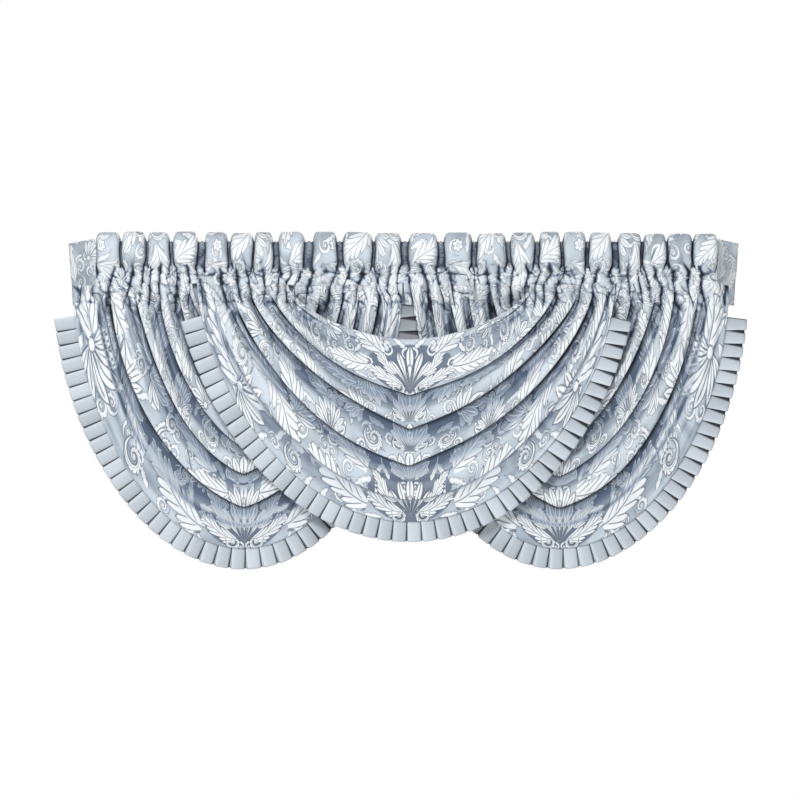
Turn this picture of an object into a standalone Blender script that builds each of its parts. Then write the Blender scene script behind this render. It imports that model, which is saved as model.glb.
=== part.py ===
"""Waterfall valance: a shirred rod-pocket heading, three swags and their pleated trims.

Metres, +Z up, the front towards -Y. The origin is the middle of the top edge of the rod pocket.
Tables are in millimetres.
"""

from collections import namedtuple

import bmesh
import bpy
import numpy as np

MM = 0.001
NAME = "waterfall_valance"

# Cloth
CLOTH_THICK = 2.0 * MM
TRIM_THICK = 1.6 * MM

# Heading
SEAM_Z = -83.0 * MM
SEAM_Y = -7.0 * MM
SEAM_PUCKER = 1.2 * MM
SEAM_PITCH = 41.0 * MM
SEAM_PUCKER_FADE = 0.25
SEAM_LAYERS = 5.0 * MM
SWAG_BELOW_SEAM = 0.8 * MM
PUFF_SQUARENESS = 3.5
PUFF_SHOULDER = 0.55
RETURN_TOP_START = -10.0 * MM
RETURN_TOP_END = -17.5 * MM
RETURN_BACK = 40.0 * MM
RETURN_TAPER = 6.0 * MM
RETURN_CELLS = 2

# Swags
SWAG_ALONG = 30
SWAG_ACROSS_PER_FOLD = 2
TOP_CROWDING = 1.3
GATHER_LENGTH = 30.0 * MM
GATHER_FLATTENING = 0.3
CENTRE_SOFTENING = 0.25
UNEVENNESS = 0.22
UNEVEN_ALONG = 5.3
UNEVEN_ACROSS = 1.9
RIDGE_ROUNDNESS = 0.12

# Trims
PLEATS = 46
TRIM_WIDTH = 33.0 * MM
TRIM_TUCK = 4.0 * MM
TRIM_BEHIND = 2.3 * MM
TRIM_TURN = 60.0 * MM
PLEAT_STEP = 1.6 * MM
PLEAT_FLAT = 0.94

# Each puff of the heading: where it starts and ends along X, and how far its crown dips.
Puff = namedtuple("Puff", "left right dip")
PUFFS = [
    Puff(-482, -443, 1),
    Puff(-440, -403, 0),
    Puff(-400, -365, 1),
    Puff(-359, -321, 0),
    Puff(-309, -273, 1),
    Puff(-268, -233, 2),
    Puff(-231, -202, 1),
    Puff(-192, -152, 0),
    Puff(-138, -100, 0),
    Puff(-90, -44, 0),
    Puff(-40, 2, 2),
    Puff(14, 59, 2),
    Puff(70, 114, 1),
    Puff(122, 168, 2),
    Puff(176, 213, 1),
    Puff(221, 254, 0),
    Puff(259, 294, 0),
    Puff(300, 335, 1),
    Puff(346, 382, 2),
    Puff(386, 421, 3),
    Puff(424, 463, 3),
    Puff(465, 503, 3),
]

# The heading's section, from the seam up the front, over the crown, down the back to the seam and on to its
# hem: height and depth in a puff, and in the gathered gap between two.
Station = namedtuple("Station", "name puff_z puff_y gap_z gap_y")
SECTION = [
    Station("front seam", -83, -9, -83, -7),
    Station("gathers", -74, -17, -74, -8),
    Station("lower front", -58, -27, -59, -9),
    Station("front", -36, -32, -40, -9),
    Station("upper front", -14, -28, -24, -9),
    Station("crown front", -3, -17, -17, -6),
    Station("crown", 0, -5, -15, 0),
    Station("crown back", -4, 7, -17, 7),
    Station("back", -31, 11, -33, 10),
    Station("lower back", -62, 10, -62, 10),
    Station("back seam", -82, -4, -82, -4),
    Station("back hem", -116, 11, -116, 11),
]
BACK_FROM = 7
BACK_SEAM = 10

# Return flaps, past the first and the last puff: how far each reaches along X.
RETURN_REACH = {"left": 47.0 * MM, "right": 37.0 * MM}

# Each fold line of a swag, from the cowl edge out to the hem. left and right are its distances from the
# swag's middle at the seam, drop how far its lowest point hangs below the seam, round and slope shape its
# curve, and lift is how far it stands out in front of the valleys.
Fold = namedtuple("Fold", "name left right drop round slope lift")
CENTRE_FOLDS = [
    Fold("cowl edge", 187, 198, 92, 1.15, 1.30, 7),
    Fold("valley 1", 197, 207, 102, 1.15, 1.35, 0),
    Fold("ridge 1", 211, 234, 165, 1.20, 1.45, 14),
    Fold("valley 2", 227, 248, 181, 1.25, 1.50, 0),
    Fold("ridge 2", 238, 266, 219, 1.35, 1.55, 14),
    Fold("valley 3", 254, 279, 236, 1.35, 1.45, 0),
    Fold("ridge 3", 264, 292, 275, 1.35, 1.40, 14),
    Fold("valley 4", 280, 303, 296, 1.30, 1.38, 0),
    Fold("ridge 4", 295, 313, 325, 1.25, 1.36, 13),
    Fold("band", 314, 323, 350, 1.05, 1.28, 3),
    Fold("hem", 330, 332, 376, 1.00, 1.25, 1),
]
LEFT_FOLDS = [
    Fold("cowl edge", 79, 83, 97, 1.15, 1.30, 5),
    Fold("valley 1", 87, 95, 112, 1.15, 1.30, 0),
    Fold("ridge 1", 95, 115, 167, 1.20, 1.30, 9),
    Fold("valley 2", 105, 139, 212, 1.20, 1.30, 0),
    Fold("ridge 2", 124, 153, 240, 1.20, 1.30, 11),
    Fold("valley 3", 138, 168, 262, 1.20, 1.30, 0),
    Fold("ridge 3", 156, 179, 290, 1.20, 1.30, 12),
    Fold("valley 4", 176, 192, 307, 1.20, 1.30, 0),
    Fold("ridge 4", 194, 206, 340, 1.20, 1.26, 12),
    Fold("valley 5", 216, 222, 363, 1.15, 1.20, 0),
    Fold("band", 238, 238, 391, 1.05, 1.16, 6),
    Fold("hem", 268, 255, 419, 1.00, 1.13, 2),
]
RIGHT_FOLDS = [
    Fold("cowl edge", 58, 90, 98, 1.15, 1.30, 5),
    Fold("valley 1", 70, 98, 114, 1.15, 1.30, 0),
    Fold("ridge 1", 95, 108, 170, 1.20, 1.30, 9),
    Fold("valley 2", 119, 121, 214, 1.20, 1.30, 0),
    Fold("ridge 2", 135, 140, 239, 1.20, 1.30, 11),
    Fold("valley 3", 151, 157, 264, 1.20, 1.30, 0),
    Fold("ridge 3", 167, 175, 292, 1.20, 1.30, 12),
    Fold("valley 4", 184, 191, 309, 1.20, 1.30, 0),
    Fold("ridge 4", 197, 206, 339, 1.20, 1.24, 12),
    Fold("valley 5", 211, 224, 362, 1.15, 1.18, 0),
    Fold("band", 227, 241, 390, 1.05, 1.13, 6),
    Fold("hem", 248, 268, 419, 1.00, 1.09, 2),
]

# Each swag: its middle along X, how far its lowest points drift along X, the depth of its valleys along the
# left leg, the right leg and at the bottom, the fall over which it leaves the seam's depth, a phase that
# sets where its folds swell and thin, how far below the seam its trim starts at the left and at the right,
# and the share of the trim's width that shows at its right end.
Swag = namedtuple(
    "Swag", "name folds middle drift left_y right_y low_y leave phase trim_left trim_right trim_end"
)
SWAGS = [
    Swag("left", LEFT_FOLDS, -251, 3, -3, -3, -7, 45, 0.0, 50, 31, 0.55),
    Swag("right", RIGHT_FOLDS, 254, -2, 7, -3, -7, 40, 1.9, 50, 50, 1.0),
    Swag("centre", CENTRE_FOLDS, 9, 6, -30, -30, -34, 45, 3.7, 50, 50, 1.0),
]

# Colours of the cloth
DAMASK = (0.63, 0.70, 0.78, 1.0)
PLAIN = (0.58, 0.65, 0.71, 1.0)
SATIN_ROUGHNESS = 0.38


def clear_scene():
    """Removes what the scene starts with."""
    for thing in list(bpy.data.objects):
        bpy.data.objects.remove(thing, do_unlink=True)


def cloth_material(name, colour):
    """A satin cloth of one colour."""
    material = bpy.data.materials.new(name)
    material.use_nodes = True
    shader = material.node_tree.nodes["Principled BSDF"]
    shader.inputs["Base Color"].default_value = colour
    shader.inputs["Roughness"].default_value = SATIN_ROUGHNESS
    shader.inputs["Metallic"].default_value = 0.0
    return material


def ease(t):
    """Goes from 0 to 1 with level ends, and stays there outside them."""
    t = np.clip(t, 0.0, 1.0)
    return t * t * (3.0 - 2.0 * t)


def sheet(name, columns, rows, place, thick, material, collection, keep=None):
    """A cloth: a grid of columns x rows cells, put in place and given its thickness.

    place turns the arrays (column, row), counted in cells, into x, y and z. keep says which cells stay.
    """
    grid = bmesh.new()
    bmesh.ops.create_grid(grid, x_segments=columns, y_segments=rows, size=0.5)
    flat = np.array([vert.co[:] for vert in grid.verts])
    column = (flat[:, 0] - flat[:, 0].min()) / np.ptp(flat[:, 0]) * columns
    row = (flat[:, 1] - flat[:, 1].min()) / np.ptp(flat[:, 1]) * rows
    if keep is not None:
        grid.verts.ensure_lookup_table()
        cells = [[vert.index for vert in face.verts] for face in grid.faces]
        inside = [keep(column[cell].mean(), row[cell].mean()) for cell in cells]
        dropped = [face for face, stays in zip(grid.faces, inside) if not stays]
    x, y, z = place(column, row)
    for vert, point in zip(grid.verts, zip(x, y, z)):
        vert.co = point
    if keep is not None:
        bmesh.ops.delete(grid, geom=dropped, context="FACES")
    mesh = bpy.data.meshes.new(name)
    grid.to_mesh(mesh)
    grid.free()
    mesh.materials.append(material)
    mesh.shade_smooth()
    cloth = bpy.data.objects.new(name, mesh)
    collection.objects.link(cloth)
    solid = cloth.modifiers.new("thickness", "SOLIDIFY")
    solid.thickness = thick
    solid.offset = 0.0
    return cloth


def seam_depth(x):
    """Depth of the gathering seam at x: puckered along the puffs, going back at the two returns."""
    pucker = SEAM_PUCKER * np.sin(2.0 * np.pi * x / SEAM_PITCH)
    beyond_left = (PUFFS[0].left * MM - x) / RETURN_REACH["left"]
    beyond_right = (x - PUFFS[-1].right * MM) / RETURN_REACH["right"]
    beyond = np.clip(np.maximum(beyond_left, beyond_right), 0.0, None)
    return SEAM_Y + pucker * (1.0 - ease(beyond / SEAM_PUCKER_FADE)) + beyond * (RETURN_BACK - SEAM_Y)


def heading_columns():
    """(x, fullness, dip, reach) of each column of the heading; reach runs from 0 to 1 along a return."""
    steps = np.arange(RETURN_CELLS, 0, -1) / RETURN_CELLS
    start = PUFFS[0].left * MM
    end = PUFFS[-1].right * MM
    columns = [(start - step * RETURN_REACH["left"], 0.0, 0.0, step) for step in steps]
    for puff in PUFFS:
        middle = (puff.left + puff.right) / 2.0
        half = (puff.right - puff.left) / 2.0
        for across in (-1.0, -PUFF_SHOULDER, PUFF_SHOULDER, 1.0):
            full = 1.0 - abs(across) ** PUFF_SQUARENESS
            columns.append(((middle + half * across) * MM, full, puff.dip * MM * full, 0.0))
    columns += [(end + step * RETURN_REACH["right"], 0.0, 0.0, step) for step in steps[::-1]]
    return np.array(columns)


def heading(material, collection):
    """The pocket: one strip, folded over, gathered into puffs, with a flat return at each end."""
    across = heading_columns()
    table = np.array([station[1:] for station in SECTION]) * MM
    last = len(across) - 1

    def place(column, row):
        column = np.round(column).astype(int)
        row = np.round(row).astype(int)
        x, full, dip, reach = across[column].T
        puff_z, puff_y, gap_z, gap_y = table[row].T
        z = gap_z + (puff_z - gap_z) * full - dip * (1.0 - puff_z / SEAM_Z)
        y = gap_y + (puff_y - gap_y) * full
        seam_front = row == 0
        seam_back = row == BACK_SEAM
        y = np.where(seam_front, seam_depth(x) + (puff_y - gap_y) * full, y)
        y = np.where(seam_back, seam_depth(x) + SEAM_LAYERS, y)
        flap = (column <= RETURN_CELLS) | (column >= last - RETURN_CELLS)
        top = RETURN_TOP_START + (RETURN_TOP_END - RETURN_TOP_START) * reach
        z = np.where(flap & (row == BACK_FROM), top, z)
        behind = y + (RETURN_BACK - y) * reach
        y = np.where(flap & ~seam_back, behind, y)
        low = (row - BACK_FROM) / (BACK_SEAM - BACK_FROM)
        inward = np.where(x < 0.0, 1.0, -1.0) * RETURN_TAPER * reach * low
        return x + inward, y, z

    def keep(column, row):
        on_return = column < RETURN_CELLS or column > last - RETURN_CELLS
        return row > BACK_FROM or not on_return

    return sheet(
        "heading", last, len(SECTION) - 1, place, CLOTH_THICK, material, collection, keep
    )


def swag_point(swag, along, fold):
    """A swag's point. along runs from 0 at the left end to 1 at the right, fold counts its fold lines.

    Each fold line hangs as x = width * cos(angle)^round, fall = drop * sin(angle)^slope.
    """
    table = np.array([line[1:] for line in swag.folds])
    lines = np.arange(len(table))
    left, right, drop, rounding, slope = [
        np.interp(fold, lines, table[:, column]) for column in range(5)
    ]
    below = np.clip(np.floor(fold).astype(int), 0, len(table) - 2)
    part = fold - below
    lift_from, lift_to = table[below, 5], table[below + 1, 5]
    swell = RIDGE_ROUNDNESS * 4.0 * part * (1.0 - part) * np.abs(lift_to - lift_from)
    lift = lift_from + (lift_to - lift_from) * ease(part) + swell

    side = np.abs(2.0 * along - 1.0)
    angle = np.pi / 2.0 * (1.0 - side) ** TOP_CROWDING
    width = np.where(along < 0.5, -left, right)
    low = np.sin(angle) ** 2
    x = (swag.middle + swag.drift * low + width * np.cos(angle) ** rounding) * MM
    fall = drop * MM * np.sin(angle) ** slope
    z = SEAM_Z - SWAG_BELOW_SEAM - fall

    out_of_seam = ease(fall / (swag.leave * MM))
    leg_y = np.where(along < 0.5, swag.left_y, swag.right_y)
    hang_y = (leg_y + (swag.low_y - leg_y) * low) * MM
    base = seam_depth(x) * (1.0 - out_of_seam) + hang_y * out_of_seam
    gathered = GATHER_FLATTENING + (1.0 - GATHER_FLATTENING) * ease(fall / GATHER_LENGTH)
    uneven = 1.0 + UNEVENNESS * np.sin(UNEVEN_ALONG * along + UNEVEN_ACROSS * fold + swag.phase)
    relief = lift * MM * gathered * uneven * (1.0 - CENTRE_SOFTENING * low)
    return x, base - relief, z


def make_swag(swag, material, collection):
    """One swag, from its cowl edge to its hem."""
    rows = SWAG_ACROSS_PER_FOLD * (len(swag.folds) - 1)

    def place(column, row):
        return swag_point(swag, column / SWAG_ALONG, row / SWAG_ACROSS_PER_FOLD)

    return sheet(
        "swag_" + swag.name, SWAG_ALONG, rows, place, CLOTH_THICK, material, collection
    )


def hem_line(swag, samples=800):
    """The hem as an array of points, and the length along it, from the start of the trim to its end.

    It runs straight between the swag's columns, as the edge of the swag's own grid does.
    """
    columns = np.linspace(0.0, 1.0, SWAG_ALONG + 1)
    corners = swag_point(swag, columns, np.full(SWAG_ALONG + 1, len(swag.folds) - 1.0))
    along = np.linspace(0.0, 1.0, samples)
    points = np.column_stack([np.interp(along, columns, corner) for corner in corners])
    start = np.where(along < 0.5, swag.trim_left, swag.trim_right) * MM
    points = points[points[:, 2] < SEAM_Z - start]
    steps = np.linalg.norm(np.diff(points[:, [0, 2]], axis=0), axis=1)
    return points, np.concatenate([[0.0], np.cumsum(steps)])


def make_trim(swag, material, collection):
    """Knife pleats along the hem: flat tabs, each stepping down to the next, tucked behind the cloth."""
    points, length = hem_line(swag)
    pitch = length[-1] / PLEATS

    def place(column, row):
        pleat = np.floor(column / 2.0)
        back_edge = column - 2.0 * pleat
        where = np.clip((pleat + back_edge * PLEAT_FLAT) * pitch, 0.0, length[-1])
        hem = [np.interp(where, length, points[:, axis]) for axis in range(3)]
        ahead = [np.interp(where + pitch, length, points[:, axis]) for axis in (0, 2)]
        behind = [np.interp(where - pitch, length, points[:, axis]) for axis in (0, 2)]
        run_x, run_z = ahead[0] - behind[0], ahead[1] - behind[1]
        run = np.hypot(run_x, run_z)
        out_x, out_z = run_z / run, -run_x / run
        shown = swag.trim_end + (1.0 - swag.trim_end) * ease((length[-1] - where) / TRIM_TURN)
        out = row * (TRIM_WIDTH * shown + TRIM_TUCK) - TRIM_TUCK
        y = hem[1] + TRIM_BEHIND + PLEAT_STEP * back_edge
        return hem[0] + out_x * out, y, hem[2] + out_z * out

    return sheet(
        "trim_" + swag.name, 2 * PLEATS - 1, 1, place, TRIM_THICK, material, collection
    )


def main():
    clear_scene()
    collection = bpy.data.collections.new(NAME)
    bpy.context.scene.collection.children.link(collection)
    heading(cloth_material("damask heading", DAMASK), collection)
    for swag in SWAGS:
        make_swag(swag, cloth_material("damask " + swag.name, DAMASK), collection)
        make_trim(swag, cloth_material("plain trim " + swag.name, PLAIN), collection)


main()
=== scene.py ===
# %% [markdown]
# # Dressing a waterfall valance
# The frame is a packed construction model of a window valance: a shirred rod-pocket heading, three swags
# that hang in curved folds, and a knife-pleated trim along each hem. It is in metres, +Z up and the front
# towards -Y, and the origin is the middle of the pocket's top edge. This script lays finer cloth over those
# solids, gives it a damask weave, and sets up a plain studio.

# %% Load the frame
from collections import namedtuple

import bpy
import numpy as np
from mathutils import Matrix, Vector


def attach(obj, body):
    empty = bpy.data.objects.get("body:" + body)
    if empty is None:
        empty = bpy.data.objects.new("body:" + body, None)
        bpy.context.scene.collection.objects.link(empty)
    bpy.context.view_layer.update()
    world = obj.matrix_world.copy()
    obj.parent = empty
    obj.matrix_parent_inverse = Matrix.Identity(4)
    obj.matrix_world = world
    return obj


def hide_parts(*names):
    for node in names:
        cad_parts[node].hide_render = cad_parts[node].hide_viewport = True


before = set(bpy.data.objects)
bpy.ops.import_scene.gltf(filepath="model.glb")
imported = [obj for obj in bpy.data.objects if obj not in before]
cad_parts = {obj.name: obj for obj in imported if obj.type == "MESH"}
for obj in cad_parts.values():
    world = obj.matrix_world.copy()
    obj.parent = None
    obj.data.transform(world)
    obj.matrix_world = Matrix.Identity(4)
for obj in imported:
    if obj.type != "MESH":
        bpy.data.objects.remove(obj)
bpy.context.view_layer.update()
MM = 0.001
print("construction nodes:", ", ".join(sorted(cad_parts)))

# %% [markdown]
# A node's place is in its vertices, so its box says where the cloth has to be. A few sizes belong to more
# than one piece: the height and the depth of the seam at which the swags are gathered onto the heading, how
# far behind it the pocket's back lies, and how thick each cloth is.

# %% Sizes that the pieces share
SEAM_Z = -83.0 * MM
SEAM_Y = -7.0 * MM
SEAM_LAYERS = 5.0 * MM
CLOTH_THICK = 1.2 * MM
TRIM_THICK = 0.6 * MM

# %% [markdown]
# Hung cloth is never even, and its unevenness has to come out the same on every run. These helpers take and
# give whole arrays: a step with soft ends, the length along the lines of a grid, and low hills whose heights
# come from a seeded table. A noise texture would do for colour, but the hills also move the cloth itself.

# %% Steps, lengths and hills
HILL_ROWS = 64
HILL_COLUMNS = 256


def ease(t):
    """Goes from 0 to 1 as 3t^2 - 2t^3, with level ends, and stays there outside them."""
    t = np.clip(t, 0.0, 1.0)
    return t * t * (3.0 - 2.0 * t)


def lengths(points, axis):
    """The length run along an axis of a grid of points, from its first line."""
    steps = np.linalg.norm(np.diff(points, axis=axis), axis=-1)
    start = np.zeros_like(np.take(steps, [0], axis=axis))
    return np.concatenate([start, np.cumsum(steps, axis=axis)], axis=axis)


def hills(x, z, size_x, size_z, seed):
    """Smooth random relief from -1 to 1: seeded values on a lattice of that size, eased between them."""
    table = np.random.RandomState(seed).uniform(-1.0, 1.0, (HILL_ROWS, HILL_COLUMNS))
    column, row = x / size_x + HILL_COLUMNS / 2, z / size_z + HILL_ROWS / 2
    left = np.floor(column).astype(int) % (HILL_COLUMNS - 1)
    low = np.floor(row).astype(int) % (HILL_ROWS - 1)
    s, t = ease(column - np.floor(column)), ease(row - np.floor(row))
    below = table[low, left] * (1.0 - s) + table[low, left + 1] * s
    above = table[low + 1, left] * (1.0 - s) + table[low + 1, left + 1] * s
    return below * (1.0 - t) + above * t


print("a step is", ease(0.25), "up after a quarter of its way")

# %% [markdown]
# Little light reaches the bottom of a fold, and the cloth there looks darker and bluer. Ray tracing gives
# some of that, but not the depth of colour of the real satin, so each point also stores a painted shade,
# which the materials paint into its colour. The measure is how far the point lies behind the mean of the
# cloth around it.

# %% Painted shade in the hollows
LIT_RIDGE = -1.0
DARK_CREASE = 2.0


def hollow(points, reach, depth):
    """How far each point lies behind the cloth around it, in units of depth: a running mean less the point.
    reach is how many lines the mean takes in on each side, along rows and along columns."""
    forward = -points[..., 1]
    mean = forward
    for axis, lines in enumerate(reach):
        pad = [(0, 0), (0, 0)]
        pad[axis] = (lines + 1, lines)
        total = np.cumsum(np.pad(mean, pad, mode="edge"), axis=axis)
        span, count = 2 * lines + 1, forward.shape[axis]
        ahead = np.take(total, np.arange(span, span + count), axis=axis)
        mean = (ahead - np.take(total, np.arange(count), axis=axis)) / span
    return (mean - forward) / depth


print("shade runs from", LIT_RIDGE, "over 0 and 1, a valley, to", DARK_CREASE)

# %% [markdown]
# Every cloth here is a surface over two parameters: one runs along the cloth and one across it. The points
# come as a grid, so one helper can turn any of them into a mesh. It also stores the cloth's flat
# coordinates, in metres, as a UV map, because a woven pattern has to bend with the cloth. Solidify gives the
# sheet its thickness, and its wrong side another material.

# %% From a grid of points to a cloth
def cloth(name, points, flat, painted_shade, thick, outward=True, keep=None, slots=None):
    """A cloth from a grid of points: rows x columns x 3. flat holds its flat coordinates and painted_shade
    how far each point lies in the painted shade of a fold. keep says which cells stay, and slots which
    material each has; its wrong side has the material after that one. Returns the object, and the flat
    coordinates of each face's corners."""
    rows, columns = points.shape[:2]
    index = np.arange(rows * columns).reshape(rows, columns)
    corners = [index[:-1, :-1], index[:-1, 1:], index[1:, 1:], index[1:, :-1]]
    faces = np.stack(corners if outward else corners[::-1], axis=-1)
    faces = faces.reshape(-1, 4) if keep is None else faces[keep]
    used, faces = np.unique(faces, return_inverse=True)
    faces = faces.reshape(-1, 4)
    mesh = bpy.data.meshes.new(name)
    mesh.vertices.add(len(used))
    mesh.vertices.foreach_set("co", points.reshape(-1, 3)[used].astype(np.float32).ravel())
    mesh.loops.add(faces.size)
    mesh.loops.foreach_set("vertex_index", faces.astype(np.int32).ravel())
    mesh.polygons.add(len(faces))
    mesh.polygons.foreach_set("loop_start", np.arange(0, faces.size, 4, dtype=np.int32))
    if slots is not None:
        mesh.polygons.foreach_set("material_index", slots[keep].astype(np.int32))
    mesh.update(calc_edges=True)
    corner_flat = flat.reshape(-1, 2)[used][faces]
    mesh.uv_layers.new(name="flat").data.foreach_set("uv", corner_flat.astype(np.float32).ravel())
    # The painted shade of each point, which the materials paint into the cloth's colour.
    shade = mesh.attributes.new("painted_shade", "FLOAT", "POINT")
    held = np.clip(painted_shade, LIT_RIDGE, DARK_CREASE).reshape(-1)[used]
    shade.data.foreach_set("value", held.astype(np.float32))
    mesh.shade_smooth()
    piece = bpy.data.objects.new(name, mesh)
    bpy.context.scene.collection.objects.link(piece)
    solid = piece.modifiers.new("thickness", "SOLIDIFY")
    solid.thickness = thick
    solid.offset = 0.0
    solid.material_offset = 1
    print(f"{name}: {len(faces)} cells, {len(used)} points")
    return piece, corner_flat


def area_of(piece):
    """The area of a cloth before its thickness is added."""
    sizes = np.empty(len(piece.data.polygons))
    piece.data.polygons.foreach_get("area", sizes)
    return float(sizes.sum())


print("a cloth is", CLOTH_THICK / MM, "mm thick and a trim", TRIM_THICK / MM, "mm")

# %% [markdown]
# A shader node graph is a formula, and a long formula is easier to read as arithmetic than as a list of
# nodes. A Wire stands for one value in a node group. Adding or multiplying wires puts the Math node in.

# %% Arithmetic that builds nodes
class Wire:
    """One value on its way through a node tree."""

    def __init__(self, tree, socket):
        self.tree = tree
        self.socket = socket

    def apply(self, operation, *others, clamp=False):
        node = self.tree.nodes.new("ShaderNodeMath")
        node.operation = operation
        node.use_clamp = clamp
        for place, value in zip(node.inputs, (self, *others)):
            if isinstance(value, Wire):
                self.tree.links.new(value.socket, place)
            else:
                place.default_value = float(value)
        return Wire(self.tree, node.outputs[0])

    def __add__(self, other):
        return self.apply("ADD", other)

    __radd__ = __add__

    def __sub__(self, other):
        return self.apply("SUBTRACT", other)

    def __rsub__(self, other):
        return self.apply("MULTIPLY_ADD", -1.0, other)

    def __mul__(self, other):
        return self.apply("MULTIPLY", other)

    def __truediv__(self, other):
        return self.apply("DIVIDE", other)

    def __abs__(self):
        return self.apply("ABSOLUTE")


def sine(x):
    return x.apply("SINE")


def cosine(x):
    return x.apply("COSINE")


def power(x, exponent):
    return x.apply("POWER", exponent)


def least(x, other):
    return x.apply("MINIMUM", other)


def most(x, other):
    return x.apply("MAXIMUM", other)


def whole(x):
    return x.apply("ROUND")


def reach(x, y):
    """The distance of (x, y) from the middle."""
    return (x * x + y * y).apply("SQRT")


def share(x):
    """x, held between 0 and 1."""
    return x.apply("ADD", 0.0, clamp=True)


def edge(x, soft):
    """0 below x = 0 and 1 above it, with a soft step of that width."""
    return x.apply("MULTIPLY_ADD", 1.0 / soft, 0.5, clamp=True)


print("node arithmetic ready")

# %% [markdown]
# A damask's figures are woven in a bright satin on a matt ground. Each figure is a formula on its own small
# square, from -1 to 1. It gives the distance inside the figure's edge, so one softened step draws the shape
# and a band beside it draws the outline, and it gives the engraved lines. The plain numbers in the formulas
# are the drawing itself: how wide a petal is, how many lobes a leaf has, where a vein starts. Formulas stay
# sharp at any distance, and an image would have to be somebody's picture.

# %% The figures of the damask
def leaf(a, b, lobes=9.0):
    """An acanthus leaf along a: three swellings, each cut into feathery lobes that sweep ahead."""
    along = a.apply("MULTIPLY_ADD", 0.5, 0.5, clamp=True)
    hump = along * (1.0 - along) * 4.0
    off = abs(b - sine(a * 2.4) * 0.11)
    lobe = abs(sine((along * lobes - off * 7.0) * np.pi))
    swell = abs(sine((along * 3.0 - off * 1.6 + 0.15) * np.pi))
    width = power(hump, 0.6) * (0.40 - along * 0.16) * (swell * 0.42 + 0.66)
    inside = width * (power(lobe, 0.8) * 0.40 + 0.60) - off - 0.014
    rib = edge(0.016 - off, 0.016)
    slits = edge(0.30 - lobe, 0.25) * edge(off - 0.05, 0.05)
    return inside * 0.9, most(rib, slits)


def spiral(a, b, growth, thick, lobes):
    """A scroll: its radius grows by a factor each turn, and lobes feather its outer side."""
    r = reach(a, b)
    angle = b.apply("ARCTAN2", a) * (0.5 / np.pi)
    turn = r.apply("LOGARITHM", growth) - angle
    off = turn - whole(turn)
    lobe = abs(sine((angle * lobes - off * 3.0) * np.pi))
    outer = lobe * 0.16 + thick
    stroke = least(outer - off, off + thick) * r * np.log(growth)
    return most(least(stroke, 0.96 - r), 0.15 - r), off, lobe


def scroll(a, b):
    """One scroll, feathered, with a fine line along its stroke."""
    inside, off, lobe = spiral(a, b, 4.0, 0.16, 12)
    slit = edge(0.25 - lobe, 0.2) * edge(off - 0.10, 0.03)
    return inside, most(edge(0.025 - abs(off), 0.03), slit)


def palmette(a, b):
    """A fan of pointed petals over a foot, the same left and right, with a curl at each side."""
    side = abs(a)
    up = b + 0.74
    r = reach(side, up)
    angle = side.apply("ARCTAN2", up) * 2.9
    off = abs(angle - whole(angle))
    q = least(r / (1.64 - whole(angle) * 0.20), 1.3)
    inside = (sine(power(q, 1.5) * np.pi) * 0.46 - off) * r * 0.36
    inside = least(inside, (4.4 - angle) * 0.2)
    curl, _, _ = spiral((side - 0.52) * 3.0, (b + 0.62) * 3.0, 3.4, 0.2, 8)
    vein = edge(0.06 - off, 0.05) * edge(q - 0.30, 0.1) * edge(0.86 - q, 0.1)
    core = 0.15 - reach(side * 1.9, b)
    return most(inside, curl * 0.3), most(vein, edge(0.028 - abs(core), 0.03))


def lily(a, b):
    """A blossom of pointed petals that opens along a, on a curved stem with two small leaves."""
    ahead = a + 0.66
    r = reach(ahead, b)
    angle = b.apply("ARCTAN2", ahead) * 2.1 + (r - 0.8) * 0.5
    petal = least(most(whole(angle), -3.0), 3.0)
    off = abs(angle - petal)
    q = least(r / (1.60 - abs(petal) * 0.22), 1.3)
    inside = (sine(power(q, 1.1) * np.pi) * 0.45 - off) * r * 0.45
    vein = edge(0.07 - off, 0.06) * edge(q - 0.25, 0.1) * edge(0.85 - q, 0.1)
    heart = 0.15 - reach(ahead - 0.05, b)
    return most(inside, heart), most(vein, edge(0.02 - abs(heart), 0.02))


def placed(a, b, middle, angle, size):
    """The coordinates (a, b) seen from a smaller square: its middle, turn in degrees, and half width."""
    turn = np.radians(angle)
    along, across = a - middle[0], b - middle[1]
    return (
        along * (np.cos(turn) / size) + across * (np.sin(turn) / size),
        across * (np.cos(turn) / size) - along * (np.sin(turn) / size),
    )


def medallion(a, b):
    """A spray: a fan of five petals between two pairs of leaves that sweep outwards, over two small curls."""
    side = abs(a)
    low_leaf, low_cut = leaf(*placed(side, b, (0.56, -0.20), 9.0, 0.43), 6.0)
    high_leaf, high_cut = leaf(*placed(side, b, (0.52, 0.12), 38.0, 0.36), 6.0)
    foot_curl, off, _ = spiral(*placed(side, b, (0.21, -0.36), 30.0, 0.16), 3.4, 0.17, 8)
    up = b + 0.36
    r = reach(side, up)
    angle = side.apply("ARCTAN2", up) * 3.1
    petal = abs(angle - whole(angle))
    q = least(r / (0.84 - whole(angle) * 0.10), 1.3)
    crown = least((sine(power(q, 1.6) * np.pi) * 0.36 - petal) * r * 0.33, (2.45 - angle) * 0.1)
    drop = reach(side * 2.6, b + 0.02) - 0.13
    inside = most(most(low_leaf * 0.43, high_leaf * 0.36), most(foot_curl * 0.16, crown))
    veins = edge(0.06 - petal, 0.05) * edge(crown, 0.01) * edge(drop - 0.02, 0.02)
    cuts = most(low_cut * edge(low_leaf, 0.01), high_cut * edge(high_leaf, 0.01))
    strokes = most(edge(0.04 - abs(off), 0.04) * edge(foot_curl, 0.01), edge(0.02 - abs(drop), 0.02))
    return inside, most(most(veins, cuts), strokes)


def rosette(a, b):
    """A small flower of six petals about an eye."""
    r = reach(a, b)
    petals = abs(cosine(b.apply("ARCTAN2", a) * 3.0))
    return petals * 0.38 + 0.55 - r, edge(0.08 - abs(r - 0.26), 0.08)


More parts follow.
